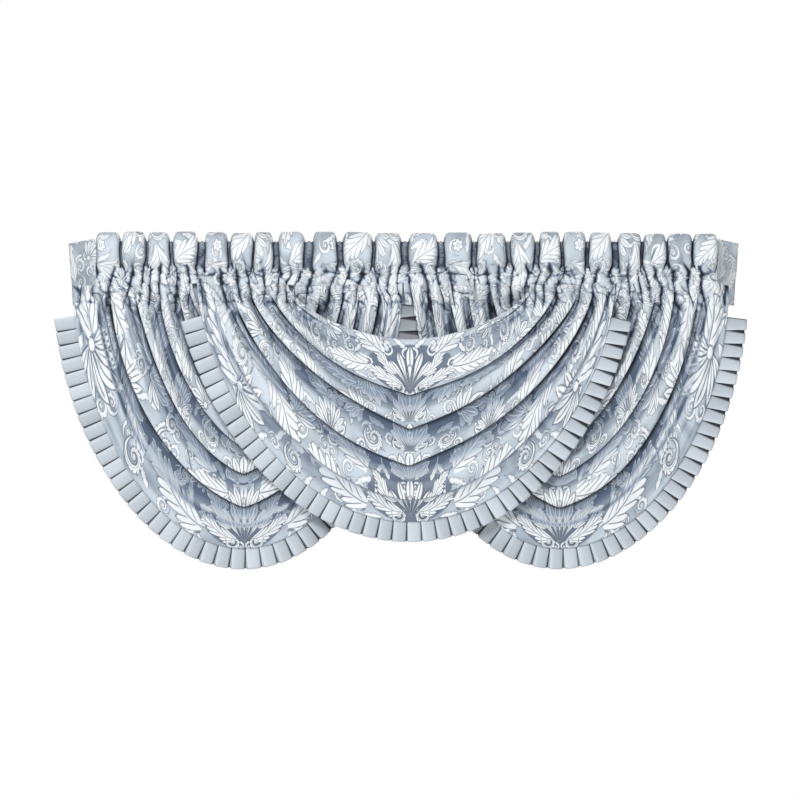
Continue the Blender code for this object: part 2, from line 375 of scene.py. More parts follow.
Figure = namedtuple("Figure", "draw size_mm height")
FIGURES = {
    "leaf": Figure(leaf, 70.0, 0.42),
    "scroll": Figure(scroll, 20.0, 1.0),
    "palmette": Figure(palmette, 34.0, 1.0),
    "lily": Figure(lily, 34.0, 0.90),
    "medallion": Figure(medallion, 84.0, 0.56),
    "rosette": Figure(rosette, 11.0, 1.0),
}
KINDS = list(FIGURES)
ATLAS_STEP = 4.0
print("figures:", ", ".join(KINDS))

# %% [markdown]
# The figures are laid out on the flat cloth by a table, mirrored about the middle of each swag. Each face of
# the mesh takes the nearest figure and stores its corners' places on that figure's own square, in a second
# UV map. The shader then draws six figures, however many there are on the cloth.

# %% Laying the figures out on the cloth
# u, w and size are millimetres of flat cloth, size is half the figure's width, and angle is in degrees.
Spot = namedtuple("Spot", "kind u w angle size")
FIGURE_REACH = 1.12
FIRST_CHOICE = 0.62
SQUARE_LIMIT = 1.9
FILLER_SIZE = 14
FILLER_TURN = 60


def lattice(u_from, u_to, w_from, w_to, kinds, angles, u_step=84.0, w_step=47.0, size=0.92):
    """An all-over layout in millimetres: rows w_step apart, shifted by half a step on every other one."""
    spots = []
    for row, w in enumerate(np.arange(w_from, w_to, w_step)):
        for place, u in enumerate(np.arange(u_from + u_step / 2.0 * (row % 2), u_to, u_step)):
            kind = kinds[(place + 2 * row) % len(kinds)]
            angle = angles[(2 * place + row) % len(angles)]
            spots.append(Spot(kind, u, w, angle, FIGURES[kind].size_mm * size))
            if kind != "scroll":
                beside = u + u_step * 0.5, w + w_step * 0.40
                spots.append(Spot("scroll", *beside, angle + FILLER_TURN, FILLER_SIZE))
    return spots


def lay_figures(piece, corner_flat, spots, first_choice, mirrored):
    """Writes the UV map "figure": u is 4 x the figure's number + its own a, and v its own b. The first spots,
    as many as first_choice says, keep more of the cloth than a lattice's spot beside them."""
    middle = corner_flat.mean(axis=1)
    best = np.full(len(middle), FIGURE_REACH)
    figure_uv = np.zeros_like(corner_flat)
    for order, spot in enumerate(spots):
        height = FIGURES[spot.kind].height
        number = 1 + KINDS.index(spot.kind)
        turned = np.radians(spot.angle)
        across = (np.cos(turned), np.sin(turned))
        for side in ((1.0, -1.0) if mirrored and spot.u > 0.5 else (1.0,)):
            def local(points):
                du = (points[..., 0] * side - spot.u * MM) / (spot.size * MM)
                dw = (spot.w * MM - points[..., 1]) / (spot.size * MM)
                return du * across[0] + dw * across[1], dw * across[0] - du * across[1]

            a, b = local(middle)
            nearness = np.maximum(np.abs(a), np.abs(b) / height)
            nearness = nearness * (FIRST_CHOICE if order < first_choice else 1.0)
            nearer = nearness < best
            best[nearer] = nearness[nearer]
            corner_a, corner_b = local(corner_flat[nearer])
            figure_uv[nearer, :, 0] = np.clip(corner_a, -SQUARE_LIMIT, SQUARE_LIMIT)
            figure_uv[nearer, :, 0] += ATLAS_STEP * number
            figure_uv[nearer, :, 1] = corner_b
    layer = piece.data.uv_layers.new(name="figure")
    layer.data.foreach_set("uv", figure_uv.astype(np.float32).ravel())
    print(f"{piece.name}: {len(spots)} figures, {np.mean(best < 1.0) * 100:.0f}% of the cloth")


# %% [markdown]
# The damask and the plain trim share a fine satin rib, a slight unevenness of tone, and random patches of
# painted dull sheen, as where the satin turns away from the light. They make one node group, and the figures
# make another. A group gives only masks and values; the shader that uses them stays in each material. First
# come the few helpers that place and join nodes.

# %% Helpers for node groups
def new_group(name, inputs, outputs):
    """A node group with float inputs and outputs, given as {name: socket type}."""
    tree = bpy.data.node_groups.new(name, "ShaderNodeTree")
    for label, kind in inputs.items():
        tree.interface.new_socket(label, in_out="INPUT", socket_type="NodeSocket" + kind)
    for label, kind in outputs.items():
        tree.interface.new_socket(label, in_out="OUTPUT", socket_type="NodeSocket" + kind)
    return tree, tree.nodes.new("NodeGroupInput"), tree.nodes.new("NodeGroupOutput")


def split(tree, socket):
    """The x and y of a vector socket, as wires."""
    node = tree.nodes.new("ShaderNodeSeparateXYZ")
    tree.links.new(socket, node.inputs[0])
    return Wire(tree, node.outputs[0]), Wire(tree, node.outputs[1])


def mixed(tree, amount, first, second):
    """A colour between two, each a socket or four numbers."""
    node = tree.nodes.new("ShaderNodeMix")
    node.data_type = "RGBA"
    tree.links.new(amount.socket if isinstance(amount, Wire) else amount, node.inputs[0])
    for place, colour in ((node.inputs[6], first), (node.inputs[7], second)):
        if isinstance(colour, bpy.types.NodeSocket):
            tree.links.new(colour, place)
        else:
            place.default_value = colour
    return node.outputs[2]


def noise(tree, vector, scale, detail):
    node = tree.nodes.new("ShaderNodeTexNoise")
    node.inputs["Scale"].default_value = scale
    node.inputs["Detail"].default_value = detail
    tree.links.new(vector, node.inputs["Vector"])
    return Wire(tree, node.outputs[0])


def stretched(tree, vector, scale):
    """A vector with its x and y scaled."""
    node = tree.nodes.new("ShaderNodeMapping")
    node.inputs["Scale"].default_value = scale
    tree.links.new(vector, node.inputs["Vector"])
    return node.outputs[0]


print("node helpers ready")

# %% [markdown]
# The satin's ribs are a fine noise, stretched until it looks like threads. Regular stripes would turn into
# false broad ones wherever a rib is narrower than a pixel of the picture.

# %% The satin weave
THREAD_SCALE = (260.0, 1500.0, 1.0)
BROAD_SCALE = 11.0
PATCH_SCALE = (13.0, 24.0, 1.0)
PATCH_FROM = 0.55
PATCH_SOFT = 0.16


def satin_group():
    """Weave: ribs along the cloth, broken by a fine noise. Tone: a broad and a fine unevenness about 0.5.
    Dim: 1 in random patches of painted dull sheen, as where the satin turns away from the light."""
    tree, taken, given = new_group(
        "satin weave", {"Flat": "Vector"}, {"Weave": "Float", "Tone": "Float", "Dim": "Float"}
    )
    flat = taken.outputs["Flat"]
    threads = noise(tree, stretched(tree, flat, THREAD_SCALE), 1.0, 2.0)
    broad = noise(tree, flat, BROAD_SCALE, 2.0)
    patches = noise(tree, stretched(tree, flat, PATCH_SCALE), 1.0, 1.0)
    tree.links.new(edge(patches - PATCH_FROM, PATCH_SOFT).socket, given.inputs["Dim"])
    tree.links.new(threads.socket, given.inputs["Weave"])
    tree.links.new((broad * 0.7 + threads * 0.3).socket, given.inputs["Tone"])
    return tree


satin = satin_group()
print("satin group:", len(satin.nodes), "nodes")

# %% [markdown]
# Between its large figures a damask is strewn with small ones. Placing hundreds by hand isn't needed: a
# Voronoi pattern cuts the flat cloth into uneven cells, and each cell's random colour chooses a small leaf or
# a curl and turns it its own way.

# %% The small figures
SMALL_CELL_MM = 25.0
LEAVES_A_CELL = 1.8
CURLS_A_CELL = 2.3


def small_figures(tree, u_mm, w_mm):
    """A small leaf or curl in each cell of a Voronoi pattern: millimetres inside its edge."""
    u, w = u_mm / SMALL_CELL_MM, w_mm / SMALL_CELL_MM
    joined = tree.nodes.new("ShaderNodeCombineXYZ")
    tree.links.new(u.socket, joined.inputs[0])
    tree.links.new(w.socket, joined.inputs[1])
    cells = tree.nodes.new("ShaderNodeTexVoronoi")
    cells.voronoi_dimensions = "2D"
    cells.inputs["Scale"].default_value = 1.0
    cells.inputs["Randomness"].default_value = 0.8
    tree.links.new(joined.outputs[0], cells.inputs["Vector"])
    middle_u, middle_w = split(tree, cells.outputs["Position"])
    chance, kind = split(tree, cells.outputs["Color"])
    turned = chance * (2.0 * np.pi)
    du, dw = u - middle_u, w - middle_w
    a = du * cosine(turned) + dw * sine(turned)
    b = dw * cosine(turned) - du * sine(turned)
    inside_leaf, _ = leaf(a * LEAVES_A_CELL, b * LEAVES_A_CELL)
    inside_curl, _, _ = spiral(a * CURLS_A_CELL, b * CURLS_A_CELL, 3.6, 0.17, 8)
    is_leaf = kind.apply("GREATER_THAN", 0.5)
    a_leaf = inside_leaf * is_leaf * (1.0 / LEAVES_A_CELL)
    a_curl = inside_curl * (1.0 - is_leaf) * (1.0 / CURLS_A_CELL)
    return (a_leaf + a_curl) * SMALL_CELL_MM


print("small figures about every", SMALL_CELL_MM, "mm")

# %% [markdown]
# The group that draws the figures works out all six formulas and keeps the one whose number the UV map
# gives. Distances are in millimetres of cloth, so an outline is as wide on a large figure as on a small one.

# %% Drawing the figures
FAR_OUTSIDE_MM = 9.0
EDGE_SOFT_MM = 1.1
OUTLINE_AT_MM = 0.85
OUTLINE_HALF_MM = 0.86
OUTLINE_SOFT_MM = 0.8
SMALL_LINE = 0.8
SMALL_FILL = 0.9


def figure_group():
    """Draws the figures: Fill is 1 inside one, Line is 1 on its outline and engraved lines, and Tint is 1
    in the middle of a medallion, where the ground is woven darker."""
    tree, taken, given = new_group(
        "damask figures", {"Figure": "Vector", "Flat": "Vector"},
        {"Fill": "Float", "Line": "Float", "Tint": "Float"},
    )
    place, b = split(tree, taken.outputs["Figure"])
    number = whole(place / ATLAS_STEP)
    a = place - number * ATLAS_STEP
    for order, figure in enumerate(FIGURES.values(), start=1):
        inside, lines = figure.draw(a, b)
        chosen = number.apply("COMPARE", order, 0.4)
        inside = chosen * (inside * figure.size_mm + FAR_OUTSIDE_MM)
        lines = chosen * lines
        depth_mm = inside if order == 1 else depth_mm + inside
        engraved = lines if order == 1 else engraved + lines
    depth_mm = depth_mm - FAR_OUTSIDE_MM
    fill = edge(depth_mm, EDGE_SOFT_MM)
    outline = edge(OUTLINE_HALF_MM - abs(depth_mm + OUTLINE_AT_MM), OUTLINE_SOFT_MM)
    u, w = split(tree, taken.outputs["Flat"])
    small_mm = small_figures(tree, abs(u) * 1000.0, w * 1000.0)
    outside = edge(-2.0 - depth_mm, 0.8)
    small_line = edge(0.45 - abs(small_mm + 0.4), 0.7) * outside
    shape = most(fill, edge(small_mm, 1.0) * outside * SMALL_FILL)
    in_medallion = number.apply("COMPARE", 1 + KINDS.index("medallion"), 0.4)
    tint = in_medallion * edge(0.86 - reach(a, b * 1.75), 0.06)
    tree.links.new(tint.socket, given.inputs["Tint"])
    tree.links.new(shape.socket, given.inputs["Fill"])
    line = share(outline + engraved * fill + small_line * SMALL_LINE)
    tree.links.new(line.socket, given.inputs["Line"])
    return tree


figures = figure_group()
print("figure group:", len(figures.nodes), "nodes")

# %% [markdown]
# The damask is pale blue satin with nearly white figures. On the ridges the figures are solid and their
# outlines grey, under a painted highlight. Down in a valley a painted shade turns the ground slate blue, the
# figures sink into it, and their outlines are painted lighter, as if they caught the light. The mesh
# attribute "painted_shade" says how far down a point is, and in creases it paints near black. In random
# patches of painted dull sheen the ground is greyer, and on the wrong side the figures are the duller part.

# %% The colours, and helpers for materials
GROUND = (0.540, 0.618, 0.690, 1.0)
# The ground in random patches of painted dull sheen.
GROUND_IN_PAINTED_DULL_SHEEN = (0.310, 0.368, 0.428, 1.0)
# The ground in painted shade. The same colour is the woven tint in a medallion's middle.
GROUND_IN_PAINTED_SHADE_AND_TINT = (0.086, 0.122, 0.188, 1.0)
FIGURE = (0.830, 0.868, 0.898, 1.0)
# The figures in painted shade.
FIGURE_IN_PAINTED_SHADE = (0.240, 0.300, 0.390, 1.0)
OUTLINE = (0.120, 0.150, 0.195, 1.0)
# The outlines in painted shade, painted lighter.
OUTLINE_IN_PAINTED_SHADE = (0.600, 0.670, 0.750, 1.0)
# Near black: painted shade in creases, gaps and under ridges.
PAINTED_CREASE_SHADE = (0.010, 0.014, 0.022, 1.0)
# A painted highlight, where the painted shade is below 0.
LIT = (0.900, 0.935, 0.960, 1.0)
TRIM = (0.560, 0.620, 0.680, 1.0)
# The trim in full painted shade, deep in a pleat.
TRIM_IN_PAINTED_SHADE = (0.020, 0.026, 0.034, 1.0)
# The wrong side of the trim where its painted shade is full, milder than the right side's.
TRIM_BACK = (0.440, 0.500, 0.560, 1.0)
BACK_GROUND = (0.500, 0.560, 0.620, 1.0)
# The wrong side's ground where it is painted lighter behind the right side's painted shade, and where its
# tone is high.
BACK_PAINTED_LIGHT_AND_TONE = (0.640, 0.700, 0.750, 1.0)
BACK_FIGURE = (0.360, 0.430, 0.510, 1.0)
TONE_IN_SHADE = 0.12
LIT_STRENGTH = 0.42
OUTLINED = 0.80
HEADING_OUTLINED = 0.50


def new_material(name):
    material = bpy.data.materials.new(name)
    material.use_nodes = True
    tree = material.node_tree
    return material, tree, tree.nodes["Principled BSDF"]


def uv(tree, name):
    node = tree.nodes.new("ShaderNodeUVMap")
    node.uv_map = name
    return node.outputs[0]


def attribute(tree, name):
    node = tree.nodes.new("ShaderNodeAttribute")
    node.attribute_name = name
    return Wire(tree, node.outputs["Fac"])


def use_group(tree, group, **sockets):
    node = tree.nodes.new("ShaderNodeGroup")
    node.node_tree = group
    for label, socket in sockets.items():
        tree.links.new(socket, node.inputs[label])
    return node


def bump(tree, shader, height, distance, strength):
    node = tree.nodes.new("ShaderNodeBump")
    node.inputs["Distance"].default_value = distance
    node.inputs["Strength"].default_value = strength
    tree.links.new(height.socket, node.inputs["Height"])
    tree.links.new(node.outputs[0], shader.inputs["Normal"])


def woven(tree):
    """The satin's weave, its tone and its dim patches."""
    node = use_group(tree, satin, Flat=uv(tree, "flat"))
    return (Wire(tree, node.outputs[name]) for name in ("Weave", "Tone", "Dim"))


def drawn(tree):
    """The figures' fill, their lines, and the tint of the ground within a spray."""
    node = use_group(tree, figures, Figure=uv(tree, "figure"), Flat=uv(tree, "flat"))
    return (Wire(tree, node.outputs[name]) for name in ("Fill", "Line", "Tint"))


print("a fold's ground goes from", GROUND[:3], "to", GROUND_IN_PAINTED_SHADE_AND_TINT[:3])

# %% [markdown]
# Each cloth has a right side and a wrong side. Both sides of the damask read the same groups, but the figures
# that shine on the right side are dull on the wrong one, as in a woven damask. The heading's outlines are
# weaker than the swags'.

# %% The damask and the trim cloth
def damask_back():
    """The wrong side: the figures lie dull on a brighter ground, and the right side's valleys are painted
    lighter here, with the satin's random tone.
    """
    material, tree, shader = new_material("pale blue damask, wrong side")
    fill, line, _ = drawn(tree)
    weave, tone, _ = woven(tree)
    # Painted light behind the right side's painted shade, and the satin's random tone.
    painted_light_and_tone = share(attribute(tree, "painted_shade") * 0.35 + tone * 0.4)
    ground = mixed(tree, painted_light_and_tone, BACK_GROUND, BACK_PAINTED_LIGHT_AND_TONE)
    colour = mixed(tree, line * 0.35, mixed(tree, fill * 0.8, ground, BACK_FIGURE), OUTLINE)
    tree.links.new(colour, shader.inputs["Base Color"])
    tree.links.new((0.52 + weave * 0.12).socket, shader.inputs["Roughness"])
    shader.inputs["Specular IOR Level"].default_value = 0.22
    bump(tree, shader, weave * 0.4 - fill * 0.5, 0.0006, 0.7)
    return material


def damask_material(name, outlined):
    """The right side, with painted shade in the folds, a painted highlight on the ridges and near-black
    painted shade in the creases. outlined is how strong the outlines and the engraved lines are.
    """
    material, tree, shader = new_material(name)
    fill, line, tint = drawn(tree)
    weave, tone, dim = woven(tree)
    shade = attribute(tree, "painted_shade")
    painted_shade = share(shade + (tone - 0.5) * TONE_IN_SHADE)
    dark = share(shade - 1.0)
    # Random patches of painted dull sheen turn the ground greyer.
    satin_ground = mixed(tree, dim * 0.85, GROUND, GROUND_IN_PAINTED_DULL_SHEEN)
    # Ground, figures and outlines take their painted shade colours; the ground also takes the woven tint.
    ground = mixed(tree, most(painted_shade, tint * 0.86), satin_ground, GROUND_IN_PAINTED_SHADE_AND_TINT)
    figure = mixed(tree, painted_shade * painted_shade, FIGURE, FIGURE_IN_PAINTED_SHADE)
    outline = mixed(tree, edge(painted_shade - 0.70, 0.20), OUTLINE, OUTLINE_IN_PAINTED_SHADE)
    cloth_colour = mixed(tree, fill, ground, figure)
    drawn_colour = mixed(tree, line * outlined, cloth_colour, outline)
    # Painted highlight on the ridges, where the painted shade is below 0.
    colour = mixed(tree, share(shade * -1.0) * LIT_STRENGTH, drawn_colour, LIT)
    # Painted shade: above 1 it turns the colour towards near black.
    tree.links.new(mixed(tree, dark, colour, PAINTED_CREASE_SHADE), shader.inputs["Base Color"])
    tree.links.new((0.46 - fill * 0.10 + weave * 0.10).socket, shader.inputs["Roughness"])
    shader.inputs["Sheen Weight"].default_value = 0.10
    shader.inputs["Specular IOR Level"].default_value = 0.22
    bump(tree, shader, fill * 0.6 - line * 0.6 + weave * 0.35, 0.0007, 0.8)
    return material


def trim_material(name, darkest):
    """Plain satin, with painted shade in the pleats and a painted highlight where that shade is below 0.
    darkest is its colour where the painted shade is full.
    """
    material, tree, shader = new_material(name)
    weave, tone, _ = woven(tree)
    shade = attribute(tree, "painted_shade")
    painted_shade = share(shade + (tone - 0.5) * TONE_IN_SHADE)
    # Painted shade towards darkest, and a painted highlight towards LIT where the shade is below 0.
    colour = mixed(tree, share(shade * -1.0), mixed(tree, painted_shade, TRIM, darkest), LIT)
    tree.links.new(colour, shader.inputs["Base Color"])
    tree.links.new((0.42 + weave * 0.12).socket, shader.inputs["Roughness"])
    shader.inputs["Specular IOR Level"].default_value = 0.45
    bump(tree, shader, weave, 0.0003, 0.6)
    return material


damask = damask_material("pale blue damask", OUTLINED)
heading_damask = damask_material("pale blue damask, heading", HEADING_OUTLINED)
damask_reverse = damask_back()
plain = trim_material("plain blue satin", TRIM_IN_PAINTED_SHADE)
plain_reverse = trim_material("plain blue satin, wrong side", TRIM_BACK)
print("materials:", damask.name, "and", plain.name)

# %% [markdown]
# ## The heading
# The pocket is one strip of damask, folded over and sewn, and pushed together on its rod until it stands in
# puffs. A table gives each puff's edges. The section through a puff and through the pinched gap between two
# are two short profiles, and the surface goes from one to the other across each puff. A cloth simulation
# could gather a strip by itself, but its puffs would fall where they like, and these have their places.

# %% The heading's tables
Puff = namedtuple("Puff", "left right dip")
PUFFS = [
    Puff(-482, -443, 1),
    Puff(-440, -403, 0),
    Puff(-400, -365, 1),
    Puff(-359, -321, 0),
    Puff(-309, -273, 1),
    Puff(-268, -233, 2),
    Puff(-231, -202, 1),
    Puff(-192, -152, 0),
    Puff(-138, -100, 0),
    Puff(-90, -44, 0),
    Puff(-40, 2, 2),
    Puff(14, 59, 2),
    Puff(70, 114, 1),
    Puff(122, 168, 2),
    Puff(176, 213, 1),
    Puff(221, 254, 0),
    Puff(259, 294, 0),
    Puff(300, 335, 1),
    Puff(346, 382, 2),
    Puff(386, 421, 3),
    Puff(424, 463, 3),
    Puff(465, 503, 3),
]
Station = namedtuple("Station", "name puff_z puff_y gap_z gap_y")
SECTION = [
    Station("front seam", -83, -9, -83, -6),
    Station("gathers", -74, -13, -74, -8),
    Station("lower front", -58, -23, -59, -9),
    Station("front", -36, -32, -40, -9),
    Station("upper front", -14, -28, -24, -9),
    Station("crown front", -3, -17, -17, -6),
    Station("crown", 0, -5, -15, 0),
    Station("crown back", -4, 7, -17, 7),
    Station("back", -31, 11, -33, 10),
    Station("lower back", -62, 10, -62, 10),
    Station("back seam", -82, -4, -82, -4),
    Station("back hem", -116, 11, -116, 11),
]
BACK_FROM = 7
BACK_SEAM = 10
FRONT_ROWS = 9
BACK_ROWS = 3
PUFF_COLUMNS = 25
PUFF_SQUARENESS = 9.0
RETURN_REACH = {"left": 47.0 * MM, "right": 37.0 * MM}
# The fold of cloth in a gap: how far across the gap, and its fullness, less than 0 where it lies deeper.
GAP_FOLD = [(0.25, -0.10), (0.50, 0.04), (0.75, -0.10)]
IN_GAP = 1.5
ON_RETURN = 2.0
PUFF_NARROWS = 0.16
RETURN_COLUMNS = 12
RETURN_TOP_START = -10.0 * MM
RETURN_TOP_END = -17.5 * MM
RETURN_BACK = 40.0 * MM
RETURN_TAPER = 6.0 * MM
# From this slot on both sides are the right side: at its two ends the pocket is pressed flat, two layers.
DOUBLE_SLOT = 2
SEAM_PUCKER = 1.2 * MM
SEAM_PITCH = 41.0 * MM
SEAM_PUCKER_FADE = 0.25
print(len(PUFFS), "puffs between", PUFFS[0].left, "and", PUFFS[-1].right, "mm")

# %% [markdown]
# Below the puffs the cloth is bunched up by its stitches. Two kinds of crease make that: pleats that run down
# from the stitch line, and short puckers across them. Both are smooth waves folded up at zero, which leaves a
# round ridge and a sharp crease. The heading and the tops of the swags use the same functions of place, so
# their creases run on from one to the other, as the stitches hold all the layers together.

# %% The gathers at the seam
GATHER_PITCH = 22.0 * MM
GATHER_DEPTH = 9.0 * MM
PLEAT_LEAN = 0.22
PLEAT_WANDER = 5.0 * MM
CREASE_SHARPNESS = 0.6
STITCH_Z = -69.0 * MM
STITCH_WAVE = 5.0 * MM
STITCH_HALF = 7.0 * MM
STITCH_PINCH = 0.55
SEAM_WAVE = 2.6 * MM
SEAM_WAVE_REACH = 13.0 * MM
# Painted shade in the creases of the gathers, and a painted highlight on their folds.
PLEAT_SHADE = 2.0
PLEAT_LIT = 0.45
PUCKER_SHADE = 1.35


def stitch_height(x):
    """The height of the stitch line at x."""
    return STITCH_Z + STITCH_WAVE * np.sin(x / (9.7 * MM))


def pleats(x, z):
    """From 0 in a crease to 1 on the fold between two, at uneven steps along x. The creases lean and
    wander."""
    lean = PLEAT_LEAN * np.sin(x / (57.0 * MM)) * (z - SEAM_Z)
    x = x + lean + PLEAT_WANDER * hills(x, z, 34.0 * MM, 22.0 * MM, 1)
    phase = x / GATHER_PITCH + 0.36 * np.sin(x / (31.0 * MM)) + 0.2 * np.sin(x / (12.7 * MM) + 1.0)
    return np.abs(np.sin(np.pi * phase)) ** CREASE_SHARPNESS


def puckers(x, z):
    """From 0 in the sharp little creases across the pleats to 1 between them: smooth relief, folded where it
    crosses zero."""
    return np.abs(hills(x + 0.4 * z, z, 9.0 * MM, 15.0 * MM, 2)) ** CREASE_SHARPNESS


def gather_shade(x, z):
    """The painted shade of the pleats, dark between them with a little painted highlight on their folds,
    and of the puckers.
    """
    between = pleats(x, z)
    creased = np.clip(1.0 - 1.5 * puckers(x, z), 0.0, 1.0) ** 1.3
    return PLEAT_SHADE * (1.0 - between) ** 4 - PLEAT_LIT * between, PUCKER_SHADE * creased


def gathers(x, z):
    """How far the gathered cloth stands out: the pleats with puckers on them, pinched at the stitch line."""
    pinch = 1.0 - STITCH_PINCH * np.exp(-(((z - stitch_height(x)) / STITCH_HALF) ** 2))
    return GATHER_DEPTH * pinch * pleats(x, z) * (0.60 + 0.75 * puckers(x, z))


def seam_wave(x):
    """How far the seam strays up and down."""
    return SEAM_WAVE * (np.sin(x / (11.0 * MM)) + 0.6 * np.sin(x / (6.1 * MM) + 2.0))


print("gathers every", GATHER_PITCH / MM, "mm or so")

# %% [markdown]
# The heading's grid has one line of points down the section for each column along the rod. A column knows
# how full it is, 1 in the middle of a puff and 0 in a gap. The first cell makes the columns and rounds the
# section's stations; the next works out where the cloth lies and how shaded it is.

# %% The heading's columns and section
def seam_depth(x):
    """Depth of the gathering seam at x: puckered along the puffs, going back at the two returns."""
    pucker = SEAM_PUCKER * np.sin(2.0 * np.pi * x / SEAM_PITCH)
    beyond_left = (PUFFS[0].left * MM - x) / RETURN_REACH["left"]
    beyond_right = (x - PUFFS[-1].right * MM) / RETURN_REACH["right"]
    beyond = np.clip(np.maximum(beyond_left, beyond_right), 0.0, None)
    return SEAM_Y + pucker * (1.0 - ease(beyond / SEAM_PUCKER_FADE)) + beyond * (RETURN_BACK - SEAM_Y)


def heading_columns():
    """x, fullness, dip, reach, place across its puff, and how far that puff narrows towards its foot, for
    each column. The place goes from -1 to 1, and is IN_GAP or ON_RETURN outside the puffs. Within a puff the
    columns crowd towards its two edges."""
    left_reach = np.linspace(1.0, 1.0 / RETURN_COLUMNS, RETURN_COLUMNS)
    columns = [
        (PUFFS[0].left * MM - t * RETURN_REACH["left"], 0.0, 0.0, t, ON_RETURN, 0.0) for t in left_reach
    ]
    t = np.linspace(-1.0, 1.0, PUFF_COLUMNS)
    across = 1.5 * t - 0.5 * t**3
    for order, (puff, after) in enumerate(zip(PUFFS, [*PUFFS[1:], None])):
        narrows = PUFF_NARROWS * (1.0 + 0.35 * np.sin(2.7 * order))
        x = (puff.left + puff.right) / 2.0 + (puff.right - puff.left) / 2.0 * across
        full = 1.0 - np.abs(across) ** PUFF_SQUARENESS
        columns += [
            (at * MM, rise, puff.dip * MM * rise, 0.0, place, narrows)
            for at, rise, place in zip(x, full, across)
        ]
        if after is not None:
            gap = after.left - puff.right
            columns += [
                ((puff.right + gap * t) * MM, rise, 0.0, 0.0, IN_GAP, narrows) for t, rise in GAP_FOLD
            ]
    columns += [
        (PUFFS[-1].right * MM + t * RETURN_REACH["right"], 0.0, 0.0, t, ON_RETURN, 0.0)
        for t in left_reach[::-1]
    ]
    return np.array(columns).T


def rounded(table, at):
    """Values of a table's columns at fractional rows, on a Catmull-Rom curve through them."""
    below = np.clip(np.floor(at).astype(int), 0, len(table) - 2)
    t = (at - below)[:, None]
    before, first, second, after = (
        table[np.clip(below + step, 0, len(table) - 1)] for step in (-1, 0, 1, 2)
    )
    return 0.5 * (
        2.0 * first
        + (second - before) * t
        + (2.0 * before - 5.0 * first + 4.0 * second - after) * t**2
        + (3.0 * first - before - 3.0 * second + after) * t**3
    )


print(len(heading_columns()[0]), "columns along the heading")

# %% The heading's surface
FAN_WRINKLES = 9.0
FAN_REACH = 15.0 * MM
FAN_DEPTH = 4.0 * MM
# The cloth is gathered below the first of these heights, and fully so once it is lower by the second.
GATHERED_FROM = 50.0 * MM
GATHERED_WITHIN = 24.0 * MM
GATHERED_WANDERS = 5.0 * MM
FOOT_FROM = 48.0 * MM
FOOT_WITHIN = 20.0 * MM
PUFF_FURROW = 3.0 * MM
FURROW_FROM = 22.0 * MM
FURROW_WITHIN = 36.0 * MM
SEAM_PULLS_STATIONS = 0.9
RETURN_WRINKLE = 2.2 * MM
RETURN_WRINKLES_Z = -52.0 * MM
RETURN_WRINKLES_REACH = 22.0 * MM
RETURN_HILLS = 3.0 * MM
EDGE_WANDER = 1.3 * MM
# Painted shade in the gaps between puffs and along the puffs' edges.
GAP_SHADE = 2.0
GAP_MIDDLE_PALER = 1.2
PUFF_EDGE_SHADE = 1.3
PUFF_EDGE_AT = 1.02
PUFF_EDGE_WIDTH = 0.06
PUCKER_SHADE_FROM = 44.0 * MM
PUCKER_SHADE_WITHIN = 14.0 * MM
HEADING_HOLLOW = 1.5 * MM


def fan_of_wrinkles(x, z):
    """Wrinkles that spread like a fan from the foot of each gap, and die out with the distance from it."""
    edges = np.array([(puff.right + after.left) / 2.0 * MM for puff, after in zip(PUFFS, PUFFS[1:])])
    nearest = edges[np.abs(x[..., None] - edges).argmin(axis=-1)]
    away_x, away_z = x - nearest, z - stitch_height(nearest)
    turn = np.arctan2(away_z, np.abs(away_x))
    fan = 1.0 - 2.0 * np.abs(np.sin(FAN_WRINKLES / 2.0 * turn + 45.0 * nearest)) ** CREASE_SHARPNESS
    return FAN_DEPTH * fan * np.exp(-np.hypot(away_x, away_z) / FAN_REACH)


def return_hills(x, z):
    """The soft relief of the two return flaps, from -1 to 1."""
    return hills(x + 0.5 * z, z, 17.0 * MM, 15.0 * MM, 8)


